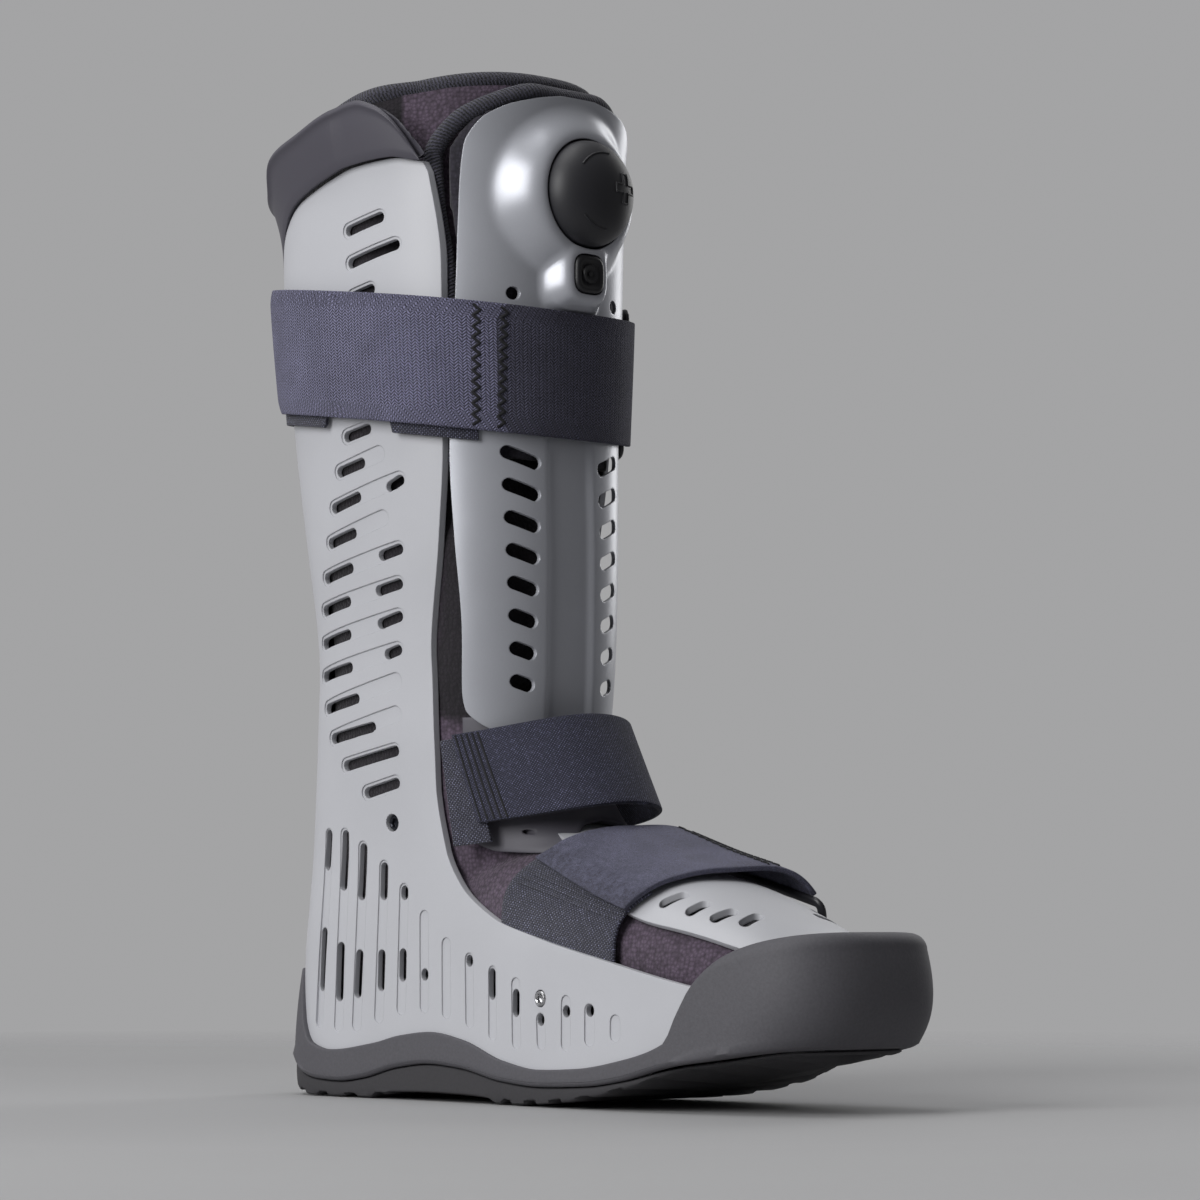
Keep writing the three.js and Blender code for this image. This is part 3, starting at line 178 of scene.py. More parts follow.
def frontReach(z, y, offset, onPanel=True):
    half = leg("panelHalf" if onPanel else "half", z) + offset
    depth = leg("panel" if onPanel else "front", z) + offset
    inside = 1 - np.minimum(0.97, np.abs(y) / half) ** fullness
    return leg("centre", z) + depth * inside ** (1 / fullness)


def soleHalf(x):
    at = share(x)
    half = solePlan["half"](at) * soleWidth
    heel = np.clip((heelRound - at) / heelRound, 0, 1)
    toe = np.clip((at - 1 + toeRound) / toeRound, 0, 1)
    return half * (1 - heel ** 2.3) ** (1 / 2.3) * (1 - toe ** 2.7) ** (1 / 2.7)


def sideHalf(x, z):
    front = np.clip((x - leg("centre", z)) / leg("front", z), 0, 0.97)
    legHalf = leg("half", z) * (1 - front ** fullness) ** (1 / fullness)
    blend = smoothStep(z, 0.14 * shellHeight, 0.4 * shellHeight)
    return (soleHalf(x) - 3) * (1 - blend) + legHalf * blend


def shellEdgeAt(z):
    return alongSole(shellEdge["along"](np.asarray(z, float) / shellHeight))


# The photograph's camera, and places on a surface under one of its pixels

cameraTurn = math.radians(48)
cameraDistance = 1700
cameraHeight = 70
frameSize = 1200  # pixels
cameraFocus = 4092  # pixels
legColumn = 462
cameraTilt = math.radians(4.54)
cameraPlace = np.array([
    cameraDistance * math.sin(cameraTurn), -cameraDistance * math.cos(cameraTurn), cameraHeight])
cameraYaw = math.atan2(math.cos(cameraTurn), -math.sin(cameraTurn)) - math.atan(
    (frameSize / 2 - legColumn) / cameraFocus / math.cos(cameraTilt))
cameraAhead = np.array([
    math.cos(cameraYaw) * math.cos(cameraTilt),
    math.sin(cameraYaw) * math.cos(cameraTilt),
    math.sin(cameraTilt),
])
cameraRight = np.array([math.sin(cameraYaw), -math.cos(cameraYaw), 0])
cameraUp = np.cross(cameraRight, cameraAhead)


def pixelOf(points):
    # Column and row of the 1200 frame at which points show
    ray = np.asarray(points, float) - cameraPlace
    depth = ray @ cameraAhead
    half = frameSize / 2
    return half + cameraFocus * (ray @ cameraRight) / depth, half - cameraFocus * (ray @ cameraUp) / depth


def placeUnder(points, column, row):
    # The point of a surface's sample grid that shows nearest to a pixel
    u, v = pixelOf(points)
    nearest = np.argmin((u - column) ** 2 + (v - row) ** 2)
    return points.reshape(-1, 3)[nearest]


def shareUnder(point, s, column, row, lift):
    # Share of a strap's length at which its edge shows nearest to a pixel
    t = np.linspace(-0.4, 0.5, 500)
    u, v = np.array([pixelOf(point(a, s, lift)) for a in t]).T
    return float(t[np.argmin((u - column) ** 2 + (v - row) ** 2)])


# Mesh helpers

def only(piece):
    bpy.ops.object.select_all(action="DESELECT")
    piece.select_set(True)
    bpy.context.view_layer.objects.active = piece


def editAll(piece):
    only(piece)
    bpy.ops.object.mode_set(mode="EDIT")
    bpy.ops.mesh.select_all(action="SELECT")


def objectMode():
    bpy.ops.object.mode_set(mode="OBJECT")


def gridOf(name, points, closed=False):
    # A grid primitive bent onto rows of points; its UV is the arc length in metres
    points = np.asarray(points, float) * mm
    rows, columns = points.shape[:2]
    bpy.ops.mesh.primitive_grid_add(x_subdivisions=columns - 1, y_subdivisions=rows - 1)
    piece = bpy.context.object
    piece.name = name
    mesh = piece.data
    mesh.vertices.foreach_set("co", points.reshape(-1))
    alongRow = np.linalg.norm(np.diff(points, axis=1), axis=2)
    alongColumn = np.linalg.norm(np.diff(points, axis=0), axis=2)
    u = np.concatenate([np.zeros((rows, 1)), np.cumsum(alongRow, 1)], 1)
    u = np.broadcast_to(u.mean(0), (rows, columns))
    v = np.concatenate([np.zeros((1, columns)), np.cumsum(alongColumn, 0)], 0)
    v = np.broadcast_to(v.mean(1)[:, None], (rows, columns))
    places = np.empty(len(mesh.loops), int)
    mesh.loops.foreach_get("vertex_index", places)
    layer = mesh.uv_layers.active or mesh.uv_layers.new(name="UVMap")
    uv = np.stack([u.reshape(-1)[places], v.reshape(-1)[places]], -1)
    layer.data.foreach_set("uv", uv.reshape(-1))
    mesh.update()
    if closed:
        editAll(piece)
        bpy.ops.mesh.remove_doubles(threshold=1e-6)
        objectMode()
    return piece


def outward(piece, centre=None):
    # Normals outside; an open sheet's point away from a centre, in millimetres
    editAll(piece)
    bpy.ops.mesh.normals_make_consistent(inside=False)
    objectMode()
    if centre is not None:
        away = sum((f.center - Vector(centre) * mm).dot(f.normal) * f.area for f in piece.data.polygons)
        if away < 0:
            editAll(piece)
            bpy.ops.mesh.flip_normals()
            objectMode()


def modify(piece, kind, **settings):
    only(piece)
    modifier = piece.modifiers.new(kind.lower(), kind)
    for key, value in settings.items():
        setattr(modifier, key, value)
    bpy.ops.object.modifier_apply(modifier=modifier.name)


def thicken(piece, thickness, offset=-1):
    modify(piece, "SOLIDIFY", thickness=thickness * mm, offset=offset, use_even_offset=True)


def bevelEdges(piece, width):
    modify(piece, "BEVEL", width=width * mm, segments=2, angle_limit=math.radians(60), limit_method="ANGLE")


def smooth(piece, angle):
    only(piece)
    bpy.ops.object.shade_smooth_by_angle(angle=math.radians(angle))


def joinAll(pieces, name):
    bpy.ops.object.select_all(action="DESELECT")
    for piece in pieces:
        piece.select_set(True)
    bpy.context.view_layer.objects.active = pieces[0]
    if len(pieces) > 1:
        bpy.ops.object.join()
    joined = bpy.context.object
    joined.name = name
    return joined


def cut(piece, cutter, operation="DIFFERENCE"):
    only(piece)
    modifier = piece.modifiers.new("cut", "BOOLEAN")
    modifier.operation = operation
    modifier.object = cutter
    modifier.solver = "MANIFOLD"
    bpy.ops.object.modifier_apply(modifier=modifier.name)
    bpy.data.objects.remove(cutter, do_unlink=True)


def capFill(piece):
    editAll(piece)
    bpy.ops.mesh.fill_holes(sides=0)
    bpy.ops.mesh.normals_make_consistent(inside=False)
    objectMode()


def loftOf(name, rings):
    # A closed body through closed rings of points
    rings = np.asarray(rings, float)
    rings = np.concatenate([rings, rings[:, :1]], 1)
    piece = gridOf(name, rings, closed=True)
    capFill(piece)
    return piece


def rollOf(name, path, width, height, closed=False, sides=14, normals=None):
    # A roll with an oval section along a path, with UV along it
    path = np.asarray(path, float)
    if closed:
        path = np.concatenate([path, path[:1]])
    ahead = np.gradient(path, axis=0)
    if closed:
        ahead[0] = ahead[-1] = path[1] - path[-2]
    ahead /= np.linalg.norm(ahead, axis=1)[:, None]
    upright = np.broadcast_to(np.array([0.0, 0.0, 1.0]), path.shape)
    up = upright if normals is None else np.asarray(normals, float)
    if normals is not None and closed:
        up = np.concatenate([up, up[:1]])
    side = np.cross(ahead, up)
    side /= np.maximum(1e-6, np.linalg.norm(side, axis=1))[:, None]
    top = np.cross(side, ahead)
    angle = np.linspace(0, 2 * math.pi, sides + 1)
    ring = side[:, None] * np.cos(angle)[None, :, None] * width / 2
    ring = ring + top[:, None] * np.sin(angle)[None, :, None] * height / 2
    piece = gridOf(name, path[:, None] + ring, closed=True)
    capFill(piece)
    return piece


def smoothPath(points, count, closed=False):
    # Even points on a smooth curve through the given ones
    points = np.asarray(points, float)
    if closed:
        points = np.concatenate([points[-3:], points, points[:3]])
    arc = np.concatenate([[0], np.cumsum(np.linalg.norm(np.diff(points, axis=0), axis=1))])
    low, high = (arc[3], arc[-3]) if closed else (arc[0], arc[-1])
    places = np.linspace(low, high, count, endpoint=not closed)
    return np.stack([curveOf(arc, points[:, i])(places) for i in range(3)], -1)


# Materials

def groupOf(name, inputs, outputs):
    group = bpy.data.node_groups.new(name, "ShaderNodeTree")
    for label, kind, value in inputs:
        socket = group.interface.new_socket(label, in_out="INPUT", socket_type="NodeSocket" + kind)
        if value is not None:
            socket.default_value = value
    for label, kind in outputs:
        group.interface.new_socket(label, in_out="OUTPUT", socket_type="NodeSocket" + kind)
    return group, group.nodes.new("NodeGroupInput"), group.nodes.new("NodeGroupOutput")


class Nodes:
    # Short hand for wiring shader nodes

    def __init__(self, tree):
        self.tree = tree

    def add(self, kind, links=None, values=None, **settings):
        node = self.tree.nodes.new("ShaderNode" + kind)
        for key, value in settings.items():
            setattr(node, key, value)
        for key, value in (values or {}).items():
            node.inputs[key].default_value = value
        for key, source in (links or {}).items():
            self.tree.links.new(source, node.inputs[key])
        return node

    def link(self, source, target):
        self.tree.links.new(source, target)

    def maths(self, operation, first, second=None, clamp=False):
        node = self.tree.nodes.new("ShaderNodeMath")
        node.operation = operation
        node.use_clamp = clamp
        for i, value in enumerate([first, second]):
            if value is None:
                continue
            if isinstance(value, (int, float)):
                node.inputs[i].default_value = value
            else:
                self.tree.links.new(value, node.inputs[i])
        return node.outputs[0]

    def mixColour(self, factor, first, second, blend="MIX"):
        node = self.tree.nodes.new("ShaderNodeMix")
        node.data_type = "RGBA"
        node.blend_type = blend
        for i, value in ((0, factor), (6, first), (7, second)):
            if isinstance(value, (int, float)):
                node.inputs[i].default_value = value
            elif isinstance(value, tuple):
                node.inputs[i].default_value = (*value, 1)
            else:
                self.tree.links.new(value, node.inputs[i])
        return node.outputs[2]

    def noise(self, vector, scale, detail=3, roughness=0.5):
        values = {"Scale": scale, "Detail": detail, "Roughness": roughness}
        return self.add("TexNoise", {"Vector": vector}, values)


def makeGrain():
    # Fine moulded grain with faint mottling
    group, inputs, outputs = groupOf(
        "mouldedGrain",
        [("Colour", "Color", (0.5, 0.5, 0.5, 1)), ("Fleck", "Float", 0.1), ("Size", "Float", 1800.0)],
        [("Colour", "Color"), ("Height", "Float"), ("Roughness", "Float")],
    )
    n = Nodes(group)
    place = n.add("TexCoord").outputs["Object"]
    fine = n.noise(place, 1800, 2)
    n.link(inputs.outputs["Size"], fine.inputs["Scale"])
    broad = n.noise(place, 22, 3)
    shade = n.maths("MULTIPLY", n.maths("SUBTRACT", fine.outputs["Fac"], 0.5), inputs.outputs["Fleck"])
    cloud = n.maths("MULTIPLY", n.maths("SUBTRACT", broad.outputs["Fac"], 0.5), 0.12)
    gain = n.maths("ADD", n.maths("ADD", shade, cloud), 1.0)
    bright = n.add("VectorMath", operation="SCALE")
    n.link(inputs.outputs["Colour"], bright.inputs[0])
    n.link(gain, bright.inputs["Scale"])
    n.link(bright.outputs[0], outputs.inputs["Colour"])
    n.link(fine.outputs["Fac"], outputs.inputs["Height"])
    uneven = n.maths("ADD", n.maths("MULTIPLY", broad.outputs["Fac"], 0.16), -0.08)
    n.link(uneven, outputs.inputs["Roughness"])
    return group


def makeWeave():
    # Over and under threads in UV space, with light flecks and a stray fuzz
    group, inputs, outputs = groupOf(
        "webbing",
        [("Dark", "Color", (0.05, 0.05, 0.07, 1)), ("Light", "Color", (0.2, 0.2, 0.28, 1)),
         ("Across", "Float", 900.0), ("Along", "Float", 600.0), ("Skew", "Float", 0.0),
         ("Flecks", "Float", 0.5)],
        [("Colour", "Color"), ("Height", "Float")],
    )
    n = Nodes(group)
    uv = n.add("TexCoord").outputs["UV"]
    axes = n.add("SeparateXYZ", {"Vector": uv})
    wobble = n.noise(n.add("TexCoord").outputs["Object"], 260, 2)
    shift = n.maths("MULTIPLY", n.maths("SUBTRACT", wobble.outputs["Fac"], 0.5), 1.1)
    u = n.maths("MULTIPLY", axes.outputs["X"], inputs.outputs["Along"])
    v = n.maths("MULTIPLY", axes.outputs["Y"], inputs.outputs["Across"])
    u = n.maths("ADD", n.maths("ADD", u, n.maths("MULTIPLY", v, inputs.outputs["Skew"])), shift)
    v = n.maths("ADD", v, shift)
    cell = n.maths("MODULO", n.maths("ADD", n.maths("FLOOR", u), n.maths("FLOOR", v)), 2)
    cell = n.maths("ABSOLUTE", cell)
    ridgeU = n.maths("ABSOLUTE", n.maths("SINE", n.maths("MULTIPLY", u, math.pi)))
    ridgeV = n.maths("ABSOLUTE", n.maths("SINE", n.maths("MULTIPLY", v, math.pi)))
    over = n.maths("MULTIPLY", n.maths("MULTIPLY", ridgeU, ridgeV), cell)
    under = n.maths("MULTIPLY", n.maths("MULTIPLY", ridgeU, ridgeV), 0.35)
    height = n.maths("MAXIMUM", over, under)
    fleck = n.noise(n.add("TexCoord").outputs["Object"], 900, 1)
    flecks = n.add("MapRange", {"Value": fleck.outputs["Fac"]}, {"From Min": 0.52, "From Max": 0.66})
    flecks = n.maths("MULTIPLY", flecks.outputs[0], inputs.outputs["Flecks"])
    broad = n.noise(n.add("TexCoord").outputs["Object"], 60, 3)
    light = n.maths("MULTIPLY", n.maths("POWER", height, 1.5), n.maths("ADD", 0.42, flecks))
    cloud = n.maths("ADD", 0.6, n.maths("MULTIPLY", broad.outputs["Fac"], 0.8))
    light = n.maths("MULTIPLY", light, cloud, clamp=True)
    n.link(n.mixColour(light, inputs.outputs["Dark"], inputs.outputs["Light"]), outputs.inputs["Colour"])
    n.link(height, outputs.inputs["Height"])
    return group


def makeHerringbone():
    # Slanting threads that turn back in narrow columns, darker beyond a seam
    group, inputs, outputs = groupOf(
        "herringbone",
        [("Dark", "Color", (0.05, 0.05, 0.07, 1)), ("Light", "Color", (0.2, 0.2, 0.28, 1)),
         ("Across", "Float", 900.0), ("Columns", "Float", 450.0), ("Slant", "Float", 1.3),
         ("Seam", "Float", 9.0)],
        [("Colour", "Color"), ("Height", "Float")],
    )
    n = Nodes(group)
    axes = n.add("SeparateXYZ", {"Vector": n.add("TexCoord").outputs["UV"]})
    place = n.add("TexCoord").outputs["Object"]
    wobble = n.maths("MULTIPLY", n.maths("SUBTRACT", n.noise(place, 420, 3).outputs["Fac"], 0.5), 0.9)
    u = n.maths("MULTIPLY", axes.outputs["X"], inputs.outputs["Columns"])
    u = n.maths("ADD", u, n.maths("MULTIPLY", wobble, 0.5))
    v = n.maths("ADD", n.maths("MULTIPLY", axes.outputs["Y"], inputs.outputs["Across"]), wobble)
    turned = n.maths("ABSOLUTE", n.maths("SUBTRACT", n.maths("MODULO", n.maths("ADD", u, 2.0), 2.0), 1.0))
    line = n.maths("ADD", v, n.maths("MULTIPLY", turned, inputs.outputs["Slant"]))
    ridge = n.maths("ABSOLUTE", n.maths("SINE", n.maths("MULTIPLY", line, math.pi)))
    column = n.maths("POWER", n.maths("ABSOLUTE", n.maths("SINE", n.maths("MULTIPLY", u, math.pi))), 0.5)
    height = n.maths("MULTIPLY", ridge, n.maths("ADD", 0.45, n.maths("MULTIPLY", column, 0.55)))
    broad = n.noise(place, 70, 4)
    fine = n.noise(place, 1500, 2)
    cloud = n.maths("ADD", 0.6, n.maths("MULTIPLY", broad.outputs["Fac"], 0.8))
    tone = n.maths("MULTIPLY", n.maths("POWER", height, 1.5), cloud)
    tone = n.maths("MULTIPLY", tone, n.maths("ADD", 0.5, fine.outputs["Fac"]))
    beyond = n.maths("GREATER_THAN", axes.outputs["X"], inputs.outputs["Seam"])
    tone = n.maths("MULTIPLY", tone, n.maths("SUBTRACT", 1.0, n.maths("MULTIPLY", beyond, 0.6)), clamp=True)
    n.link(n.mixColour(tone, inputs.outputs["Dark"], inputs.outputs["Light"]), outputs.inputs["Colour"])
    n.link(height, outputs.inputs["Height"])
    return group


def makeKnit():
    # Brushed knit: small loops under a fuzzy nap, with painted shade that mixes it towards near black where
    # the fabric lies under the shell or a panel
    group, inputs, outputs = groupOf(
        "brushedKnit",
        [("Dark", "Color", (0.04, 0.03, 0.04, 1)), ("Light", "Color", (0.2, 0.15, 0.19, 1)),
         ("Size", "Float", 620.0)],
        [("Colour", "Color"), ("Height", "Float")],
    )
    n = Nodes(group)
    place = n.add("TexCoord").outputs["Object"]
    loops = n.add("TexVoronoi", {"Vector": place, "Scale": inputs.outputs["Size"]}, {"Randomness": 0.7})
    fuzz = n.noise(place, 1500, 4, 0.7)
    broad = n.noise(place, 45, 4, 0.6)
    pile = n.maths("SUBTRACT", 1.0, n.maths("MULTIPLY", loops.outputs["Distance"], 1.3), clamp=True)
    height = n.maths("ADD", n.maths("MULTIPLY", pile, 0.6), n.maths("MULTIPLY", fuzz.outputs["Fac"], 0.5))
    tone = n.maths("MULTIPLY", height, n.maths("ADD", 0.35, broad.outputs["Fac"]), clamp=True)
    colour = n.mixColour(tone, inputs.outputs["Dark"], inputs.outputs["Light"])
    # painted shade: where the fabric lies under the shell or a panel, the knit's colour is mixed towards
    # near black
    paintedShade = n.add("Attribute", attribute_name="paintedShade").outputs["Fac"]
    n.link(n.mixColour(paintedShade, colour, (0.006, 0.006, 0.007)), outputs.inputs["Colour"])
    n.link(height, outputs.inputs["Height"])
    return group


def makeRib():
    # Ribs across a binding tape, along its UV
    group, inputs, outputs = groupOf(
        "ribbedTape",
        [("Dark", "Color", (0.01, 0.01, 0.014, 1)), ("Light", "Color", (0.1, 0.1, 0.13, 1)),
         ("Pitch", "Float", 700.0)],
        [("Colour", "Color"), ("Height", "Float")],
    )
    n = Nodes(group)
    axes = n.add("SeparateXYZ", {"Vector": n.add("TexCoord").outputs["UV"]})
    fuzz = n.noise(n.add("TexCoord").outputs["Object"], 1300, 3)
    place = n.maths("MULTIPLY", axes.outputs["Y"], inputs.outputs["Pitch"])
    place = n.maths("ADD", place, fuzz.outputs["Fac"])
    place = n.maths("ADD", place, n.maths("MULTIPLY", axes.outputs["X"], 260))
    ridge = n.maths("ABSOLUTE", n.maths("SINE", n.maths("MULTIPLY", place, math.pi)))
    height = n.maths("MULTIPLY", ridge, n.maths("ADD", 0.7, n.maths("MULTIPLY", fuzz.outputs["Fac"], 0.5)))
    colour = n.mixColour(n.maths("POWER", height, 1.6), inputs.outputs["Dark"], inputs.outputs["Light"])
    n.link(colour, outputs.inputs["Colour"])
    n.link(height, outputs.inputs["Height"])
    return group


groups = {
    "grain": makeGrain(), "weave": makeWeave(), "herringbone": makeHerringbone(), "knit": makeKnit(),
    "rib": makeRib(),
}


def linear(colour):
    # A screen colour of 0 to 255 as linear light
    return tuple(((c / 255 + 0.055) / 1.055) ** 2.4 if c > 10 else c / 255 / 12.92 for c in colour)


def materialOf(name, effect, colours, roughness, bump, distance,
               metallic=0.0, sheen=0.0, bevel=0.0, **values):
    # One finish: screen colours, relief by strength and distance in mm, values for the effect's inputs
    material = bpy.data.materials.new(name)
    material.use_nodes = True
    tree = material.node_tree
    n = Nodes(tree)
    shader = tree.nodes["Principled BSDF"]
    shader.inputs["Roughness"].default_value = roughness
    shader.inputs["Metallic"].default_value = metallic
    shader.inputs["Sheen Weight"].default_value = sheen
    group = n.add("Group")
    group.node_tree = groups[effect]
    for key, colour in colours.items():
        group.inputs[key].default_value = (*linear(colour), 1)
    for key, value in values.items():
        group.inputs[key].default_value = value
    n.link(group.outputs["Colour"], shader.inputs["Base Color"])
    if "Roughness" in group.outputs:
        n.link(n.maths("ADD", group.outputs["Roughness"], roughness, clamp=True), shader.inputs["Roughness"])
    relief = n.add(
        "Bump", {"Height": group.outputs["Height"]}, {"Strength": bump, "Distance": distance * mm})
    if bevel:
        rounded = n.add("Bevel", values={"Radius": bevel * mm}, samples=4)
        n.link(rounded.outputs[0], relief.inputs["Normal"])
    n.link(relief.outputs[0], shader.inputs["Normal"])
    return material


looks = {
    "shell": materialOf("shellPlastic", "grain", {"Colour": (190, 191, 196)}, 0.42, 0.12, 0.1,
                        bevel=0.7, Fleck=0.06),
    "panel": materialOf("panelPlastic", "grain", {"Colour": (182, 184, 191)}, 0.34, 0.1, 0.1,
                        metallic=0.35, bevel=0.7, Fleck=0.08),
    "collar": materialOf("collarRubber", "grain", {"Colour": (74, 72, 81)}, 0.5, 0.15, 0.1,
                       bevel=0.6, Fleck=0.1),
    "flange": materialOf("flangeRubber", "grain", {"Colour": (84, 82, 90)}, 0.55, 0.15, 0.1,
                       bevel=0.6, Fleck=0.1),
    "sole": materialOf("soleRubber", "grain", {"Colour": (84, 83, 88)}, 0.68, 0.4, 0.2,
                       bevel=0.6, Fleck=0.35, Size=900.0),
    "tread": materialOf("treadRubber", "grain", {"Colour": (58, 57, 60)}, 0.75, 0.4, 0.2,
                        bevel=0.4, Fleck=0.3, Size=900.0),
    "bulb": materialOf("bulbRubber", "grain", {"Colour": (40, 40, 44)}, 0.5, 0.18, 0.1,
                     bevel=0.3, Fleck=0.1),
    "valve": materialOf("valveRubber", "grain", {"Colour": (26, 26, 29)}, 0.5, 0.18, 0.1,
                      bevel=0.3, Fleck=0.1),
    "plastic": materialOf("loopPlastic", "grain", {"Colour": (38, 38, 42)}, 0.35, 0.08, 0.1,
                        bevel=0.4, Fleck=0.05),
    "screw": materialOf("screwSteel", "grain", {"Colour": (190, 190, 192)}, 0.25, 0.05, 0.05,
                        metallic=1.0, bevel=0.3, Fleck=0.05),
    "bolt": materialOf("boltBlack", "grain", {"Colour": (40, 42, 50)}, 0.3, 0.05, 0.05,
                       metallic=0.6, bevel=0.3, Fleck=0.05),
    "knit": materialOf("linerKnit", "knit", {"Dark": (36, 29, 36), "Light": (118, 102, 122)}, 0.95, 0.6, 0.8,
                       sheen=0.25),
    "padding": materialOf("padFabric", "knit", {"Dark": (20, 19, 24), "Light": (62, 58, 70)}, 0.95, 0.5, 0.5,
                          sheen=0.2),
    "binding": materialOf("bindingTape", "rib", {"Dark": (14, 14, 18), "Light": (72, 71, 86)}, 0.9, 0.9, 0.8,
                          sheen=0.15),
    "strap": materialOf("strapWeave", "herringbone", {"Dark": (24, 23, 34), "Light": (138, 137, 168)},
                        0.85, 0.8, 0.6, sheen=0.05, Columns=560.0, Across=800.0),
    "basket": materialOf("strapBasket", "weave", {"Dark": (24, 24, 38), "Light": (158, 160, 200)},
                         0.85, 0.7, 0.6, sheen=0.05, Along=1500.0, Across=1600.0),
    "twill": materialOf("strapTwill", "herringbone", {"Dark": (22, 22, 30), "Light": (134, 134, 162)},
                        0.8, 0.5, 0.4, sheen=0.05, Columns=10.0, Slant=90.0, Across=700.0),
    "pile": materialOf("strapPile", "weave", {"Dark": (26, 26, 40), "Light": (168, 170, 206)},
                       0.95, 0.9, 0.9, sheen=0.2, Along=1200.0, Across=1300.0, Flecks=0.7),
    "thread": materialOf("sewingThread", "grain", {"Colour": (16, 16, 22)}, 0.8, 0.3, 0.1,
                       sheen=0.1, Fleck=0.3),
}


def dress(piece, look, *nodes, slot=None):
    piece.data.materials.clear()
    piece.data.materials.append(looks[look])
    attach(piece, "root")
    if nodes:
        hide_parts(*nodes)
    return piece


print("materials made")

# Shell

shell = {
    "wall": 3, "slotWidth": 4.5, "slotEase": 2.4,  # the shallow recess is this much wider
    "grooveWidth": 4.4, "grooveEase": 1.2, "recess": 0.5, "through": 6,
}
# Leg slots as they show in the photograph: the rear and the front end of the
# open slot, then the end of its recess or of the second slot
legSlots = [
    # rear u, rear v, front u, front v, second slot's rear u, v, end u, end v
    (345, 232.5, 383, 215.5, None, None, None, None),
    (347.5, 265.5, 399, 242.5, None, None, None, None),
    (349, 299, 374, 288, None, None, None, None),
    (343, 438, 370, 427, None, None, None, None),
    (337, 474, 364, 461, None, None, 382, 452),
    (331, 510.5, 360, 496, 386, 489, 403, 478),
    (328, 545, 355, 532, None, None, 386, 517),
    (324, 580, 352, 567, 378, 557, 402, 547),
    (323, 613, 350, 601, 375, 592, 402, 582),
    (323, 646, 350, 634, 377, 625, 402, 615),
    (323, 678, 352, 667, 384, 656, 401, 649),
    (325.5, 710, 359, 698, None, None, 399, 680),
    (331, 740, 375, 726, None, None, 399, 713),
    (343, 767, 398, 750, None, None, None, None),
    (364, 794, 399, 782, None, None, None, None),
]
# Upright grooves of the heel and foot, with the rows between which they open
heelGrooves = [
    # top u, top v, end u, end v, open rows
    (329, 829, 319, 1027, [(830, 870), (927, 991)]),
    (345, 829, 338, 1031, [(830, 891), (942, 1001)]),
    (363, 842, 356, 1030, [(843, 900), (949, 998)]),
    (384, 861, 379, 1022, [(862, 900), (950, 991)]),
    (404, 884, 401, 1014, [(885, 900), (949, 982)]),
    (424, 911, 424, 1012, [(969, 981)]),
    (446, 938, 446, 1018, []),
    (469, 954, 470, 1027, [(955, 967)]),
    (492, 967, 492, 1040, [(968, 1000)]),
    (515, 978, 516, 1048, [(989, 1017)]),
    (540, 1014, 541, 1050, [(1015, 1025)]),
    (565, 996, 565, 1050, [(1006, 1018)]),
    (589, 1004, 589, 1046, [(1005, 1017)]),
    (615, 1015, 615, 1041, []),
]
ankleScrew = (392.5, 822.7, 3.6)
footScrew = (540, 999, 3.4)


def capsule(ax, az, bx, bz, width, steps=9):
    # Pairs of points on the two sides of a round-ended slot, from end to end
    a, b = np.array([ax, az], float), np.array([bx, bz], float)
    ahead = (b - a) / np.linalg.norm(b - a)
    aside = np.array([-ahead[1], ahead[0]])
    turn = np.linspace(0, math.pi / 2, 5)
    short = max(0, width + 0.4 - np.linalg.norm(b - a)) / 2
    a, b = a - ahead * short, b + ahead * short
    long = np.linalg.norm(b - a)
    start = width / 2 * (1 - np.cos(turn))
    middle = np.linspace(width / 2, long - width / 2, steps)[1:-1]
    places = np.concatenate([start, middle, (long - start)[::-1]])
    half = np.concatenate([np.sin(turn), np.ones(len(middle)), np.sin(turn)[::-1]]) * width / 2
    half = np.maximum(half, 0.02)
    centre = a + ahead * places[:, None]
    return centre + aside * half[:, None], centre - aside * half[:, None]


def sideCutter(ends, width, side, depth, reach=4):
    # A cutter through, or a little way into, the shell's side along its surface
    upper, lower = capsule(*ends, width)
    rings = []
    for high, low in zip(upper, lower):
        rings.append([
            (p[0], side * (float(shellHalf(p[0], p[1])) + out), p[1])
            for p, out in ((high, -depth), (low, -depth), (low, reach), (high, reach))
        ])
    return loftOf("cutter", rings)


def rearwards(x, z):
    # Half width of the shell at its back, where the section closes
    section = np.clip((leg("centre", z) - x) / leg("back", z), 0, 0.999)
    return (1 - section ** fullness) ** (1 / fullness)


def shellHalf(x, z):
    # The shell's half width, which closes behind the leg's centre
    return sideHalf(x, z) * np.where(x < leg("centre", z), rearwards(x, z), 1)


def shellPoint(z, t, offset=0.0, beyond=0.0):
    # Outer surface: t runs from the right front edge round the heel to the left one
    edge = shellEdgeAt(z) + beyond
    centre = leg("centre", z)
    s = 1 - np.abs(2 * t - 1)
    sideX = edge + (centre - edge) * np.clip(s / 0.55, 0, 1) ** 0.85
    angle = np.clip((s - 0.55) / 0.45, 0, 1) * math.pi / 2
    backX = centre - (leg("back", z) + offset) * power(np.sin(angle), 2 / fullness)
    x = np.where(s < 0.55, sideX, backX)
    half = np.where(s < 0.55, sideHalf(sideX, z), sideHalf(centre, z) * power(np.cos(angle), 2 / fullness))
    grow = np.where(s < 0.55, offset, offset * power(np.cos(angle), 2 / fullness))
    return np.stack(np.broadcast_arrays(x, np.sign(t - 0.5) * (half + grow), z), -1)


collarLine = table("along top", [
    (-0.02, 0.77), (0.03, 0.79), (0.055, 0.845), (0.075, 0.885), (0.1, 0.904), (0.133, 0.92), (0.18, 0.932),
    (0.215, 0.94), (0.26, 0.948), (0.33, 0.951), (0.362, 0.946), (0.45, 0.935),
])


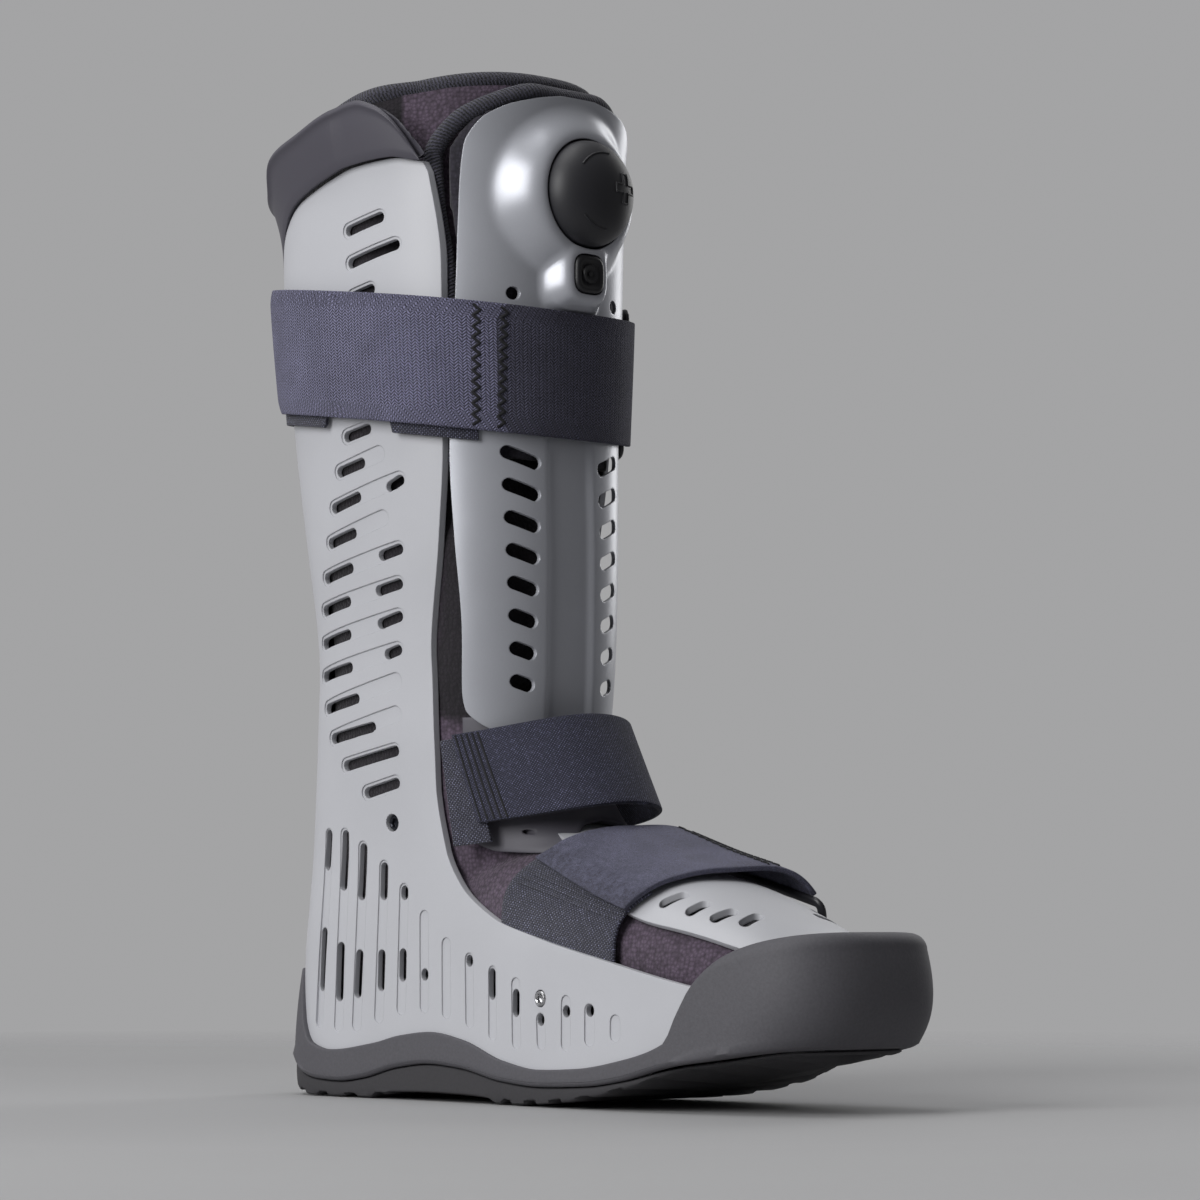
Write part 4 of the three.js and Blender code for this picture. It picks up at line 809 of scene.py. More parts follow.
def settle(lineOf, t, offset=0.0):
    # The highest places at which the shell's surface meets a line given along the boot
    z = np.arange(1.05 * shellHeight, 0, -0.5)
    x = shellPoint(z[:, None], t[None, :], offset)[..., 0]
    above = z[:, None] - lineOf(share(x))
    first = np.argmax(above < 0, axis=0)
    column = np.arange(len(t))
    high, low = above[first - 1, column], above[first, column]
    return z[first] + 0.5 * low / (low - high)


def shellSamples():
    t = np.linspace(0, 0.5, 420)
    z = np.arange(14, 0.95 * shellHeight, 0.5)
    points = shellPoint(z[:, None], t[None, :])
    facing = np.cross(np.gradient(points, axis=1), np.gradient(points, axis=0))
    seen = (facing * (points - cameraPlace)).sum(-1)
    if seen[len(z) // 2, 60] > 0:
        seen = -seen
    return points[seen < 0]


samples = shellSamples()


def sidePlace(column, row):
    # Place along and up the shell's right side under a pixel
    x, _, z = placeUnder(samples, column, row)
    return float(x), float(z)


def shellProfile():
    # A block across the boot with the shell's outline as seen from the side
    rim = np.linspace(-0.05, 0.826, 120)
    edge = np.concatenate([np.linspace(0.116, 0.3, 60), np.linspace(0.305, 0.934, 90)]) * shellHeight
    top = np.linspace(float(share(shellEdgeAt(edge[-1]))), -0.05, 70)[1:]
    outline = [(alongSole(at), rimProfile["top"](at) * bumperHeight - 2) for at in rim]
    outline += [(float(shellEdgeAt(z)), z) for z in edge if z > outline[-1][1] + 0.3]
    outline += [(alongSole(at), collarLine["top"](at) * shellHeight) for at in top]
    return loftOf("profile", [[(x, y, z) for x, z in outline] for y in (-120, 120)])


def makeShell():
    columns = np.linspace(0, 1, 211)
    z = np.concatenate([np.arange(12, 120, 1.6), np.linspace(120, 0.96 * shellHeight, 86)])
    piece = gridOf("rearShell", shellPoint(z[:, None], columns[None, :], beyond=8))
    outward(piece, (-10, 0, 200))
    modify(piece, "SOLIDIFY", thickness=shell["wall"] * mm, offset=-1, use_even_offset=False)
    cut(piece, shellProfile(), "INTERSECT")
    recesses, openings = [], []
    for rearU, rearV, frontU, frontV, secondU, secondV, endU, endV in legSlots:
        rear, front = sidePlace(rearU, rearV), sidePlace(frontU, frontV)
        last = sidePlace(endU, endV) if endU else front
        ahead = np.array(last) - rear
        ahead /= np.linalg.norm(ahead)
        ease = shell["slotEase"] / 2 * ahead
        for side in (-1, 1):
            wide = shell["slotWidth"] + shell["slotEase"]
            recesses.append(sideCutter((*(rear - ease), *(last + ease)), wide, side, shell["recess"]))
            openings.append(sideCutter((*rear, *front), shell["slotWidth"], side, shell["through"]))
            if secondU:
                ends = (*sidePlace(secondU, secondV), *last)
                openings.append(sideCutter(ends, shell["slotWidth"], side, shell["through"]))
    for topU, topV, endU, endV, rows in heelGrooves:
        for side in (-1, 1):
            recesses.append(sideCutter(
                (*sidePlace(endU, endV + 1), *sidePlace(topU, topV - 1)),
                shell["grooveWidth"] + shell["grooveEase"], side, shell["recess"]))
            for high, low in rows:
                u = lambda v: topU + (endU - topU) * (v - topV) / (endV - topV)
                ends = (*sidePlace(u(low), low), *sidePlace(u(high), high))
                openings.append(sideCutter(ends, shell["grooveWidth"], side, shell["through"]))
    for u, v, radius in (ankleScrew, footScrew):
        x, z = sidePlace(u, v)
        for side in (-1, 1):
            openings.append(sideCutter((x - radius, z, x + radius, z), 2 * radius, side, shell["through"]))
    cut(piece, joinAll(recesses, "recesses"))
    cut(piece, joinAll(openings, "openings"))
    smooth(piece, 30)
    return dress(piece, "shell", "rear_shell", slot="shell")


makeShell()
print("shell made")

# Collar

collarRim = table("along top", [
    (-0.05, 0.92), (0.06, 0.945), (0.1, 0.972), (0.177, 0.99), (0.23, 1.004), (0.285, 1.012), (0.315, 1.005),
    (0.338, 0.992), (0.357, 0.972), (0.375, 0.945), (0.45, 0.93),
])
collar = {"flare": 7, "wall": 3.4, "bead": 1.1, "beadDrop": 1.8, "beadSpread": 1.4, "edge": 0.9}


def makeCollar():
    columns = np.linspace(0, 1, 181)
    rearward = 1 + 0.9 * smoothStep(-np.abs(columns - 0.5), -0.3, -0.05)
    flareOf = lambda z: rearward * collar["flare"] * smoothStep(z / shellHeight, 0.86, 1.01) ** 1.4
    bottom = settle(lambda at: collarLine["top"](at) * shellHeight, columns)
    top = settle(lambda at: collarRim["top"](at) * shellHeight, columns, collar["flare"])
    top = np.maximum(top, bottom + 1)
    part = np.concatenate([np.linspace(0, 0.86, 16), np.linspace(0.88, 1, 10)])[:, None]
    z = bottom + (top - bottom) * part
    t = np.broadcast_to(columns, z.shape)
    seat = -0.5 * (1 - smoothStep((z - bottom), 0, 3))
    bead = collar["bead"] * np.exp(-(((top - z) - collar["beadDrop"]) / collar["beadSpread"]) ** 2)
    piece = gridOf("cuffFlare", shellPoint(z, t, flareOf(z) + seat + bead))
    outward(piece, (-10, 0, 380))
    modify(piece, "SOLIDIFY", thickness=collar["wall"] * mm, offset=-1, use_even_offset=False)
    bevelEdges(piece, collar["edge"])
    smooth(piece, 50)
    return dress(piece, "collar", "cuff_flare", slot="collar")


makeCollar()
print("collar made")

# Sole

def soleRing(count=280):
    # Plan of the sole: x, y and the outward direction, from the heel round by the right
    turn = np.linspace(0, 2 * math.pi, count, endpoint=False)
    x = alongSole(0.5 - 0.5 * np.cos(turn))
    y = -np.sign(np.sin(turn)) * soleHalf(x)
    y[np.abs(np.sin(turn)) < 1e-9] = 0
    ring = np.stack([x, y], -1)
    even = np.concatenate([ring, ring[:1]])
    arc = np.concatenate([[0], np.cumsum(np.linalg.norm(np.diff(even, axis=0), axis=1))])
    places = np.linspace(0, arc[-1], count, endpoint=False)
    ring = np.stack([np.interp(places, arc, even[:, i]) for i in (0, 1)], -1)
    ahead = np.roll(ring, -1, 0) - np.roll(ring, 1, 0)
    ahead /= np.linalg.norm(ahead, axis=1)[:, None]
    out = np.stack([-ahead[:, 1], ahead[:, 0]], -1)
    if np.dot(out[0], ring[0]) < 0:
        out = -out
    return ring, out


def bandAround(name, rows):
    # A closed band round the sole: each row is (inset, height along the ring)
    ring, out = soleRing()
    at = share(ring[:, 0])
    grid = []
    for inset, height in rows:
        z = height(at)
        inset = inset(at) if callable(inset) else inset
        plan = ring - out * np.broadcast_to(inset, at.shape)[:, None]
        grid.append(np.concatenate([plan, z[:, None]], 1))
    grid = np.array(grid)
    grid = np.concatenate([grid, grid[:, :1]], 1)
    return gridOf(name, grid, closed=True)


midsole = {
    "toeGrowth": 4,  # the bumper's soft bulge ahead of the sole's length
    "toeTuck": 7, "heelLean": 3.2, "edge": 0.8, "toeEdge": 5.2, "band": 5.0, "inside": 14.0,
}


def makeMidsole():
    rim = lambda at: rimProfile["top"](at) * bumperHeight
    seam = lambda at: treadProfile["top"](at) * treadHeight + 0.4
    toe = lambda at: smoothStep(at, 0.79, 0.9)
    heel = lambda at: 1 - smoothStep(at, 0.02, 0.1)
    front = lambda at: smoothStep(at, 0.86, 1.0)
    bulge = lambda part, at: front(at) * (
        midsole["toeTuck"] * (1 - part) ** 4
        - midsole["toeGrowth"] * math.sin(math.pi * (0.15 + 0.6 * part)))
    lean = lambda part: (lambda at: 0.6 + toe(at) * (0.4 + 1.6 * part ** 2) + 0.5 * part
                         + midsole["heelLean"] * heel(at) * part ** 2 + bulge(part, at))
    level = lambda part, lift=0.0: (lambda at: seam(at) + (rim(at) - seam(at)) * part + lift)
    hem = (lambda at: 6.0 + 6 * front(at), level(0.02))
    rows = [hem, (lambda at: 1.6 + 3 * toe(at) + 5 * front(at), level(0.0)),
            (lambda at: 0.5 + 1.6 * toe(at) + 4.5 * front(at), level(0.0, 0.6)),
            (lambda at: -0.1 + 0.6 * toe(at) + 4 * front(at), level(0.0, 1.8))]
    radius = lambda at: midsole["edge"] + midsole["toeEdge"] * toe(at)
    tall = lambda at: np.maximum(1.0, rim(at) - seam(at))
    rows += [(lean(part), lambda at, p=part: seam(at) + (tall(at) - radius(at)) * p)
             for part in np.linspace(0.14, 1, 14)]
    for step in np.linspace(0, math.pi / 2, 8)[1:]:
        rows.append((
            lambda at, s=step: lean(1.0)(at) + radius(at) * (1 - math.cos(s)),
            lambda at, s=step: rim(at) - radius(at) * (1 - math.sin(s)),
        ))
    inner = lambda at: np.maximum(midsole["band"], lean(1.0)(at) + radius(at) + 0.8)
    rows.append((inner, lambda at: rim(at) - 0.4))
    rows.append((lambda at: inner(at) + 0.6, lambda at: rim(at) - 1.6))
    rows.append((
        lambda at: inner(at) + 0.4,
        lambda at: np.minimum(rim(at) - 2, np.maximum(midsole["inside"], seam(at) + 1.5))))
    rows.append(hem)
    piece = bandAround("midsole", rows)
    outward(piece)
    smooth(piece, 60)
    return dress(piece, "sole", "midsole", slot="sole")


def treadWave(at, pitch, width):
    # 1 in the grooves between the tread's lugs, 0 on the lugs
    phase = (at / pitch) % 1
    edge = np.abs(phase - 0.5) * 2
    return 1 - smoothStep(edge, width, width + 0.18)


outsole = {"arch": 4.5, "toeTuck": 9.0, "lugPitch": 0.052, "groove": 0.22, "lug": 2.2, "underLug": 2.4}


def makeOutsole():
    top = lambda at: treadProfile["top"](at) * treadHeight
    bottom = lambda at: treadProfile["bottom"](at) * treadHeight
    arch = lambda at: outsole["arch"] * smoothStep(at, 0.23, 0.28) * (1 - smoothStep(at, 0.43, 0.48))
    mix = lambda part, lift=0.0: (lambda at: bottom(at) + lift + (top(at) - bottom(at)) * part)
    tuck = lambda inset: (lambda at: inset + outsole["toeTuck"] * smoothStep(at, 0.7, 0.88))
    keel = lambda at: smoothStep(at, 0.62, 0.82)
    spring = lambda at: np.maximum(0, top(at) - 1.6 - bottom(at)) * keel(at)
    edge = lambda at: bottom(at) + spring(at)
    grooves = lambda at: treadWave(at, outsole["lugPitch"], outsole["groove"]) * (1 - 0.8 * keel(at))
    notch = lambda at, depth: np.maximum(arch(at), depth * grooves(at))
    wall = lambda part, lift=0.0: (lambda at: mix(part, lift)(at) + (1 - part) * spring(at))
    lug = lambda lift, depth: (lambda at: edge(at) + lift + notch(at, depth))
    rows = [
        (tuck(6.0), top), (tuck(2.4), top), (tuck(1.7), lambda at: top(at) - 0.4),
        (tuck(1.5), wall(0.8)), (tuck(1.5), wall(0.5)), (tuck(1.7), wall(0.2, 0.2)),
        (tuck(1.9), lug(0.5, outsole["lug"])), (tuck(2.6), lug(0.0, outsole["lug"])),
        (tuck(5.5), lug(0.0, outsole["lug"])), (tuck(9.0), lug(0.0, outsole["underLug"])),
    ]
    piece = bandAround("outsole", rows)
    # the underside closes to the middle line
    ring, out = soleRing()
    at = share(ring[:, 0])
    ring = ring - out * tuck(9.0)(at)[:, None]
    grid = [np.concatenate([ring, lug(0.0, outsole["underLug"])(at)[:, None]], 1)]
    for part in np.linspace(1, 0, 18)[1:]:
        plan = ring * np.array([1, part])
        rib = smoothStep(np.abs(plan[:, 1]), 11, 13)
        here = share(plan[:, 0])
        z = bottom(here) + spring(here) * part ** 1.3 + notch(here, outsole["underLug"]) * rib
        grid.append(np.concatenate([plan, z[:, None]], 1))
    grid = np.array(grid)
    grid = np.concatenate([grid, grid[:, :1]], 1)
    under = gridOf("outsoleUnder", grid, closed=True)
    piece = joinAll([piece, under], "outsole")
    editAll(piece)
    bpy.ops.mesh.remove_doubles(threshold=1e-5)
    bpy.ops.mesh.fill_holes(sides=0)
    bpy.ops.mesh.normals_make_consistent(inside=False)
    objectMode()
    smooth(piece, 40)
    return dress(piece, "tread", "outsole", slot="tread")


makeMidsole()
makeOutsole()
print("sole made")

# Liner

pad = {"wall": 6, "outer": -3.35, "voxel": 3, "pressure": 4.0, "swell": 1.0}
liner = {
    "wall": 7, "shellGap": 4.4, "padSink": pad["wall"] + 1.2, "rimTilt": 0.12,
    "rearDrop": 12,  # the rim is this much lower at the back
    "shrink": 0.6, "voxel": 5, "pressure": 4.0, "swell": 1.4,
}
linerFolds = [
    # depth, height, slope, middle along, width, from x, to x
    (1.6, 92, -0.35, 45, 3.2, 25, 45),
    (0.9, 76, 0.5, 100, 5, 70, 90),
]
linerBinding = {"width": 9.6, "height": 8.6, "lift": 2.2}


def linerRimAt(x):
    return linerHeight + liner["rimTilt"] * (x - 0.37 * calfDepth)


def linerOffset(z, angle):
    front = smoothStep(np.cos(angle), 0.1, 0.45)
    high = smoothStep(z / shellHeight, 0.56, 0.62)
    return -liner["shellGap"] - liner["padSink"] * front * high


def inflate(piece, voxel, pressure, cap, steps=16):
    # Voxel remesh, a short cloth simulation under pressure, and one subdivision
    modify(piece, "REMESH", mode="VOXEL", voxel_size=voxel * mm)
    count = len(piece.data.vertices)
    start = np.empty(count * 3)
    piece.data.vertices.foreach_get("co", start)
    only(piece)
    cloth = piece.modifiers.new("cloth", "CLOTH")
    cloth.settings.use_pressure = True
    cloth.settings.uniform_pressure_force = pressure
    cloth.settings.effector_weights.gravity = 0
    cloth.settings.quality = 5
    scene = bpy.context.scene
    for step in range(1, steps + 1):
        scene.frame_set(step)
    moved = np.empty(count * 3)
    evaluated = piece.evaluated_get(bpy.context.evaluated_depsgraph_get())
    evaluated.data.vertices.foreach_get("co", moved)
    piece.modifiers.remove(cloth)
    scene.frame_set(1)
    shift = (moved - start).reshape(-1, 3)
    far = np.linalg.norm(shift, axis=1)
    shift *= (np.minimum(far, cap * mm) / np.maximum(far, 1e-9))[:, None]
    piece.data.vertices.foreach_set("co", (start.reshape(-1, 3) + shift).reshape(-1))
    piece.data.update()
    print(piece.name, "swelled by", round(float(far.mean()) * 1000, 2), "mm on average")
    modify(piece, "SUBSURF", levels=1)


def shadeCovered(piece):
    # Painted shade: marks where the fabric lies under the shell, the shin panel or the forefoot panel, for
    # the knit to be mixed towards near black there
    mesh = piece.data
    points = np.empty(len(mesh.vertices) * 3)
    mesh.vertices.foreach_get("co", points)
    x, y, z = points.reshape(-1, 3).T / mm
    side = smoothStep(shellEdgeAt(z) - x, 6, 11) * (np.abs(y) > 15)
    shin = smoothStep(panelHalfOf["half"](z / shellHeight) * calfWidth - np.abs(y), 2, 5) * (x > 20)
    shin *= smoothStep(z / shellHeight, 0.37, 0.385) * (1 - smoothStep(z / shellHeight, 0.93, 0.95))
    foot = smoothStep(footPanelHalf["half"](share(x)) * soleWidth - np.abs(y), 2, 5) * (x > 90) * (z > 45)
    rear = (x < -20) * (z < 0.86 * shellHeight)
    inside = legSections["half"](z / shellHeight) * calfWidth - np.abs(y) > liner["wall"] + 3.5
    inside = inside * (x < 40) * (z > 130)
    # painted shade, at most 0.88, left off the inside of the leg's top
    shade = np.clip(np.maximum.reduce([side, shin, foot, rear.astype(float)]), 0, 1) * 0.88
    shade *= ~(inside & (z > 0.8 * shellHeight))
    layer = mesh.attributes.new("paintedShade", "FLOAT", "POINT")
    layer.data.foreach_set("value", shade.astype(np.float32))


def makeLiner():
    angles = np.linspace(0, 2 * math.pi, 72, endpoint=False)
    levels = np.linspace(0.1, 1.08, 60) * shellHeight
    shrink = liner["shrink"]
    rings = []
    for z in levels:
        ring = legPoint(z, angles, linerOffset(z, angles) - shrink)
        room = np.maximum(0, leg("panel", z) - leg("front", z)) * smoothStep(z / shellHeight, 0.39, 0.43)
        ring[:, 0] += room * smoothStep(np.cos(angles), 0.2, 0.7)
        rings.append(ring)
    tube = loftOf("linerLeg", rings)
    sections = []
    for part in np.concatenate([np.linspace(0.12, 0.9, 30), np.linspace(0.91, 0.955, 6)]):
        top = footSections["top"](part) * shellHeight - shrink
        bottom = footSections["bottom"](part) * shellHeight + shrink
        half = footSections["half"](part) * soleWidth - shrink
        y = half * power(np.cos(angles), 2 / fullness)
        z = bottom + (top - bottom) * (1 + power(np.sin(angles), 2 / fullness)) / 2
        sections.append(np.stack(np.broadcast_arrays(alongSole(part), y, z), -1))
    foot = loftOf("linerFoot", sections)
    piece = joinAll([tube, foot], "liner")
    inflate(piece, liner["voxel"], liner["pressure"], liner["swell"])
    mesh = piece.data
    points = np.empty(len(mesh.vertices) * 3)
    mesh.vertices.foreach_get("co", points)
    points = points.reshape(-1, 3)
    x, y, z = (points / mm).T
    fold = np.zeros(len(x))
    for depth, height, slope, middle, width, low, high in linerFolds:
        crease = np.exp(-(((z - height) + slope * (x - middle)) / width) ** 2)
        fold += depth * crease * smoothStep(x, low, high)
    normals = np.empty(len(mesh.vertices) * 3)
    mesh.vertex_normals.foreach_get("vector", normals)
    points -= normals.reshape(-1, 3) * (fold * mm)[:, None]
    mesh.vertices.foreach_set("co", points.reshape(-1))
    mesh.update()
    editAll(piece)
    bpy.ops.mesh.bisect(
        plane_co=(0, 0, float(linerRimAt(0)) * mm), plane_no=(-liner["rimTilt"], 0, 1),
        clear_outer=True, use_fill=False)
    objectMode()
    for vertex in mesh.vertices:
        x, _, z = vertex.co / mm
        vertex.co.z -= liner["rearDrop"] * mm * float(smoothStep(-x, 0, 60) * smoothStep(z, 300, 380))
    thicken(piece, liner["wall"])
    smooth(piece, 60)
    shadeCovered(piece)
    return dress(piece, "knit", "liner", slot="knit")


def makeLinerBinding():
    angles = np.linspace(0, 2 * math.pi, 260, endpoint=False)
    path = legPoint(shellHeight, angles, linerOffset(shellHeight, angles) - liner["wall"] / 2)
    drop = liner["rearDrop"] * smoothStep(-path[:, 0], 0, 60)
    path[:, 2] = linerRimAt(path[:, 0]) + linerBinding["lift"] - drop
    width, height = linerBinding["width"], linerBinding["height"]
    piece = rollOf("linerBinding", path, width, height, closed=True, sides=16)
    smooth(piece, 60)
    return dress(piece, "binding", "liner_binding", slot="binding")


makeLiner()
makeLinerBinding()
print("liner made")

# Shin panel, front pad

panel = {"wall": 1.7, "face": 1.0, "lip": 3, "channelWidth": 25, "channelDepth": 2.2}


def panelPoint(z, y, offset):
    level = z / shellHeight
    sunk = 1 - smoothStep(np.abs(y), panel["channelWidth"] / 2 - 3, panel["channelWidth"] / 2 + 1)
    fade = 1 - smoothStep(level, 0.68, 0.75)
    lean = panel["lip"] * smoothStep(level, 0.93, 1.015) ** 2
    x = frontReach(z, y, offset) - panel["channelDepth"] * sunk * fade + lean
    return np.stack(np.broadcast_arrays(x, y, z), -1)


def squircle(y, z, exponent=3.6):
    return (np.abs(y) ** exponent + np.abs(z) ** exponent) ** (1 / exponent)


def panelSkin(z, y):
    # The panel's face with the swellings round the pump and the valve
    place = panelPoint(z, y, panel["face"])
    around = np.hypot(y, z - bulbHeight)
    pump = 1 - smoothStep(around, 1.08 * bulbRadius, 1.75 * bulbRadius)
    valve = 1 - smoothStep(squircle(y, z - valveHeight), 0.6 * valveSize, 1.15 * valveSize)
    base = place[..., 0]
    raisedPump = base + (housingRim - base) * pump
    raisedValve = base + (valveReach - 1.5 - base) * valve
    high = np.maximum(raisedPump, raisedValve)
    low = np.minimum(raisedPump, raisedValve)
    soft = np.maximum(0, 1 - (high - low) / 4) ** 2
    place[..., 0] = high + soft * np.minimum(pump, valve) * 1.2
    return place


def frontCutter(ends, width, depth=40, reach=100):
    # A round-ended cutter through the panel, from the front
    upper, lower = capsule(*ends, width)
    rings = [[(depth, h[0], h[1]), (depth, l[0], l[1]), (reach, l[0], l[1]), (reach, h[0], h[1])]
             for h, l in zip(upper, lower)]
    return loftOf("cutter", rings)


panelSlots = {
    "count": 8, "top": 0.644, "pitch": 0.0325,  # shares of the shell's height
    "inner": 0.132, "outer": 0.268, "taper": 0.005, "drift": 0.003,  # shares of the calf's width
    "rise": 0.36, "width": 5.7,
}


def makePanel():
    z = np.concatenate([np.linspace(0.365, 0.39, 14), np.linspace(0.393, 1.0, 150)])
    z = np.concatenate([z, 1.0 + 0.015 * np.sin(np.linspace(0.1, 1, 12) * math.pi / 2)]) * shellHeight
    across = np.linspace(-1, 1, 97)
    half = panelHalfOf["half"](z / shellHeight) * calfWidth
    y = half[:, None] * across
    points = panelSkin(np.broadcast_to(z[:, None], y.shape), y)
    piece = gridOf("frontPanel", points)
    outward(piece, (0, 0, 300))
    thicken(piece, panel["wall"])
    cutters = []
    for i in range(panelSlots["count"]):
        height = (panelSlots["top"] - i * panelSlots["pitch"]) * shellHeight
        inner = (panelSlots["inner"] + i * panelSlots["drift"]) * calfWidth
        outer = (panelSlots["outer"] - i * panelSlots["taper"]) * calfWidth
        drop = (outer - inner) * panelSlots["rise"] / 2
        for side in (-1, 1):
            ends = (side * inner, height - drop, side * outer, height + drop)
            cutters.append(frontCutter(ends, panelSlots["width"]))
    for side in (-1, 1):
        holeY, holeZ = side * 0.233 * calfWidth, 0.81 * shellHeight
        cutters.append(frontCutter((holeY - 2.7, holeZ, holeY + 2.7, holeZ), 5.4))
    bpy.ops.mesh.primitive_cylinder_add(
        vertices=96, radius=(bulbRadius + 0.9) * mm, depth=0.06,
        location=(bulbReach * mm, 0, bulbHeight * mm), rotation=(0, math.pi / 2, 0))
    bpy.ops.object.transform_apply(location=True, rotation=True, scale=True)
    cutters.append(bpy.context.object)
    turn = np.linspace(0, 2 * math.pi, 64, endpoint=False)
    ring = (valveSize / 2 + 0.5) * np.stack([power(np.cos(turn), 0.55), power(np.sin(turn), 0.55)], -1)
    cutters.append(loftOf("cutter", [
        [(x, p[0], valveHeight + p[1]) for p in ring] for x in (50, 100)]))
    cut(piece, joinAll(cutters, "panelCuts"))
    smooth(piece, 40)
    return dress(piece, "panel", "front_panel", slot="panel")


makePanel()

padHalfOf = table("height half", [
    (0.65, 0.36), (0.76, 0.375), (0.86, 0.395), (0.92, 0.415), (0.96, 0.42), (0.995, 0.385), (1.015, 0.3),
    (1.028, 0.16),
])
padBinding = {"width": 8.2, "height": 7.4, "inset": 3.5, "depth": 3.5}


def makePad():
    z = np.concatenate([np.linspace(0.65, 0.98, 40), np.linspace(0.985, 1.028, 14)]) * shellHeight
    half = padHalfOf["half"](z / shellHeight) * calfWidth - 4
    across = np.sin(np.linspace(-1, 1, 41) * math.pi / 2)
    y = half[:, None] * across
    piece = gridOf("frontPad", panelPoint(np.broadcast_to((z - 4)[:, None], y.shape), y, pad["outer"] - 0.8))
    outward(piece, (0, 0, 300))
    thicken(piece, pad["wall"] - 1.4)
    inflate(piece, pad["voxel"], pad["pressure"], pad["swell"])
    smooth(piece, 60)
    return dress(piece, "padding", "front_pad", slot="knit")


def makePadBinding():
    levels = np.array([0.65, 0.72, 0.76, 0.84, 0.915, 0.96, 0.995, 1.015, 1.028]) * shellHeight
    place = lambda z, side, inset, depth: panelPoint(
        z - 3.5, side * (padHalfOf["half"](z / shellHeight) * calfWidth - inset), pad["outer"] - depth)
    right = [place(z, -1, padBinding["inset"], padBinding["depth"]) for z in levels]
    left = [place(z, 1, padBinding["inset"], padBinding["depth"]) for z in levels[::-1]]
    path = smoothPath(right + left, 420)
    normals = path - np.array([10, 0, 330])  # away from the leg's middle
    width, height = padBinding["width"], padBinding["height"]
    piece = rollOf("frontPadBinding", path, width, height, sides=16, normals=normals)
    smooth(piece, 60)
    return dress(piece, "binding", "front_pad_binding", slot="binding")


makePad()
makePadBinding()
print("panel and pad made")

# Pump and valve

def turnedOf(name, profile, height, steps=96):
    # A body turned about the boot's front axis: profile is (radius, reach)
    turn = np.linspace(0, 2 * math.pi, steps, endpoint=False)
    rings = [[(reach, r * math.cos(a), height + r * math.sin(a)) for a in turn] for r, reach in profile]
    return loftOf(name, rings)


def bulbSkin(y, z, lift=0.0):
    # Reach of the bulb's dome at a place
    r = np.hypot(y, z) / bulbRadius
    crown = bulbReach - housingRim
    return housingRim - 0.3 + (crown + 0.3) * np.sqrt(np.clip(1 - r ** 2.1, 0, 1)) + lift


bulbMarks = {
    "plusPlace": (8.5, 1.5), "arm": 6.0, "half": 1.7, "line": 0.8,
    "arcs": ((112, 30), (248, 24)),  # middle and half spread, in degrees
    "arcRadius": 0.72, "arcLine": 0.9,
}


def makeBulb():
    profile = [(0.01, bulbSeat - 3), (bulbRadius - 0.6, bulbSeat - 3), (bulbRadius, bulbSeat + 2),
               (bulbRadius, housingRim - 1.4)]
    for part in np.linspace(0, 1, 26)[:-1]:
        radius = bulbRadius * math.cos(part * math.pi / 2)
        profile.append((radius, float(bulbSkin(radius, 0))))
    profile.append((0.05, bulbReach))
    piece = turnedOf("pumpBulb", profile, bulbHeight)
    smooth(piece, 40)
    dress(piece, "bulb", "pump_bulb", slot="bulb")
    ridges = []

    def ridge(points, width):
        y, z = np.array(points).T
        path = np.stack([bulbSkin(y, z, 0.05), y, z + bulbHeight], -1)
        normals = np.stack([np.full(len(y), 12.0), y, z], -1)
        ridges.append(rollOf("ridge", path, width, 0.9, sides=8, normals=normals))

    line = np.linspace(-1, 1, 15)
    plusPlace, arm, half = bulbMarks["plusPlace"], bulbMarks["arm"], bulbMarks["half"]
    corners = [(half, arm), (half, half), (arm, half), (arm, -half), (half, -half), (half, -arm)]
    corners += [(-a, -b) for a, b in corners]
    corners.append(corners[0])
    for (a, b), (c, d) in zip(corners[:-1], corners[1:]):
        ridge([(plusPlace[0] + a + (c - a) * t, plusPlace[1] + b + (d - b) * t)
               for t in np.linspace(-0.08, 1.08, 7)], bulbMarks["line"])
    for middle, spread in bulbMarks["arcs"]:
        angles = np.radians(middle + spread * line)
        far = bulbMarks["arcRadius"] * bulbRadius
        ridge([(far * math.cos(a), far * math.sin(a)) for a in angles], bulbMarks["arcLine"])
    piece = joinAll(ridges, "bulbMarks")
    smooth(piece, 60)
    return dress(piece, "bulb", slot="bulb")


def squareRing(x, half, count=72):
    turn = np.linspace(0, 2 * math.pi, count, endpoint=False)
    y = half * power(np.cos(turn), 0.55)
    z = half * power(np.sin(turn), 0.55)
    return np.stack(np.broadcast_arrays(x, y, valveHeight + z), -1)


def makeValve():
    half = valveSize / 2
    rows = [(valveReach - 6, half), (valveReach - 1.4, half), (valveReach - 0.5, half - 0.4),
            (valveReach, half - 1.3), (valveReach - 0.2, half - 2.2), (valveReach - 0.8, half - 2.9)]
    piece = loftOf("valveBezel", [squareRing(x, h) for x, h in rows])
    smooth(piece, 50)
    dress(piece, "valve", "valve_bezel", slot="bulb")
    radius = valveSize * 0.27
    profile = [(0.01, valveReach - 3), (radius, valveReach - 3), (radius, valveReach - 0.6),
               (radius - 0.5, valveReach), (radius - 1.2, valveReach), (radius - 1.9, valveReach - 0.7),
               (1.2, valveReach - 0.9), (1.0, valveReach - 0.3), (0.05, valveReach - 0.2)]
    piece = turnedOf("valveButton", profile, valveHeight, 64)
    smooth(piece, 50)
    return dress(piece, "valve", "valve_button", slot="bulb")


makeBulb()
makeValve()
print("pump made")

# Flange and forefoot panel

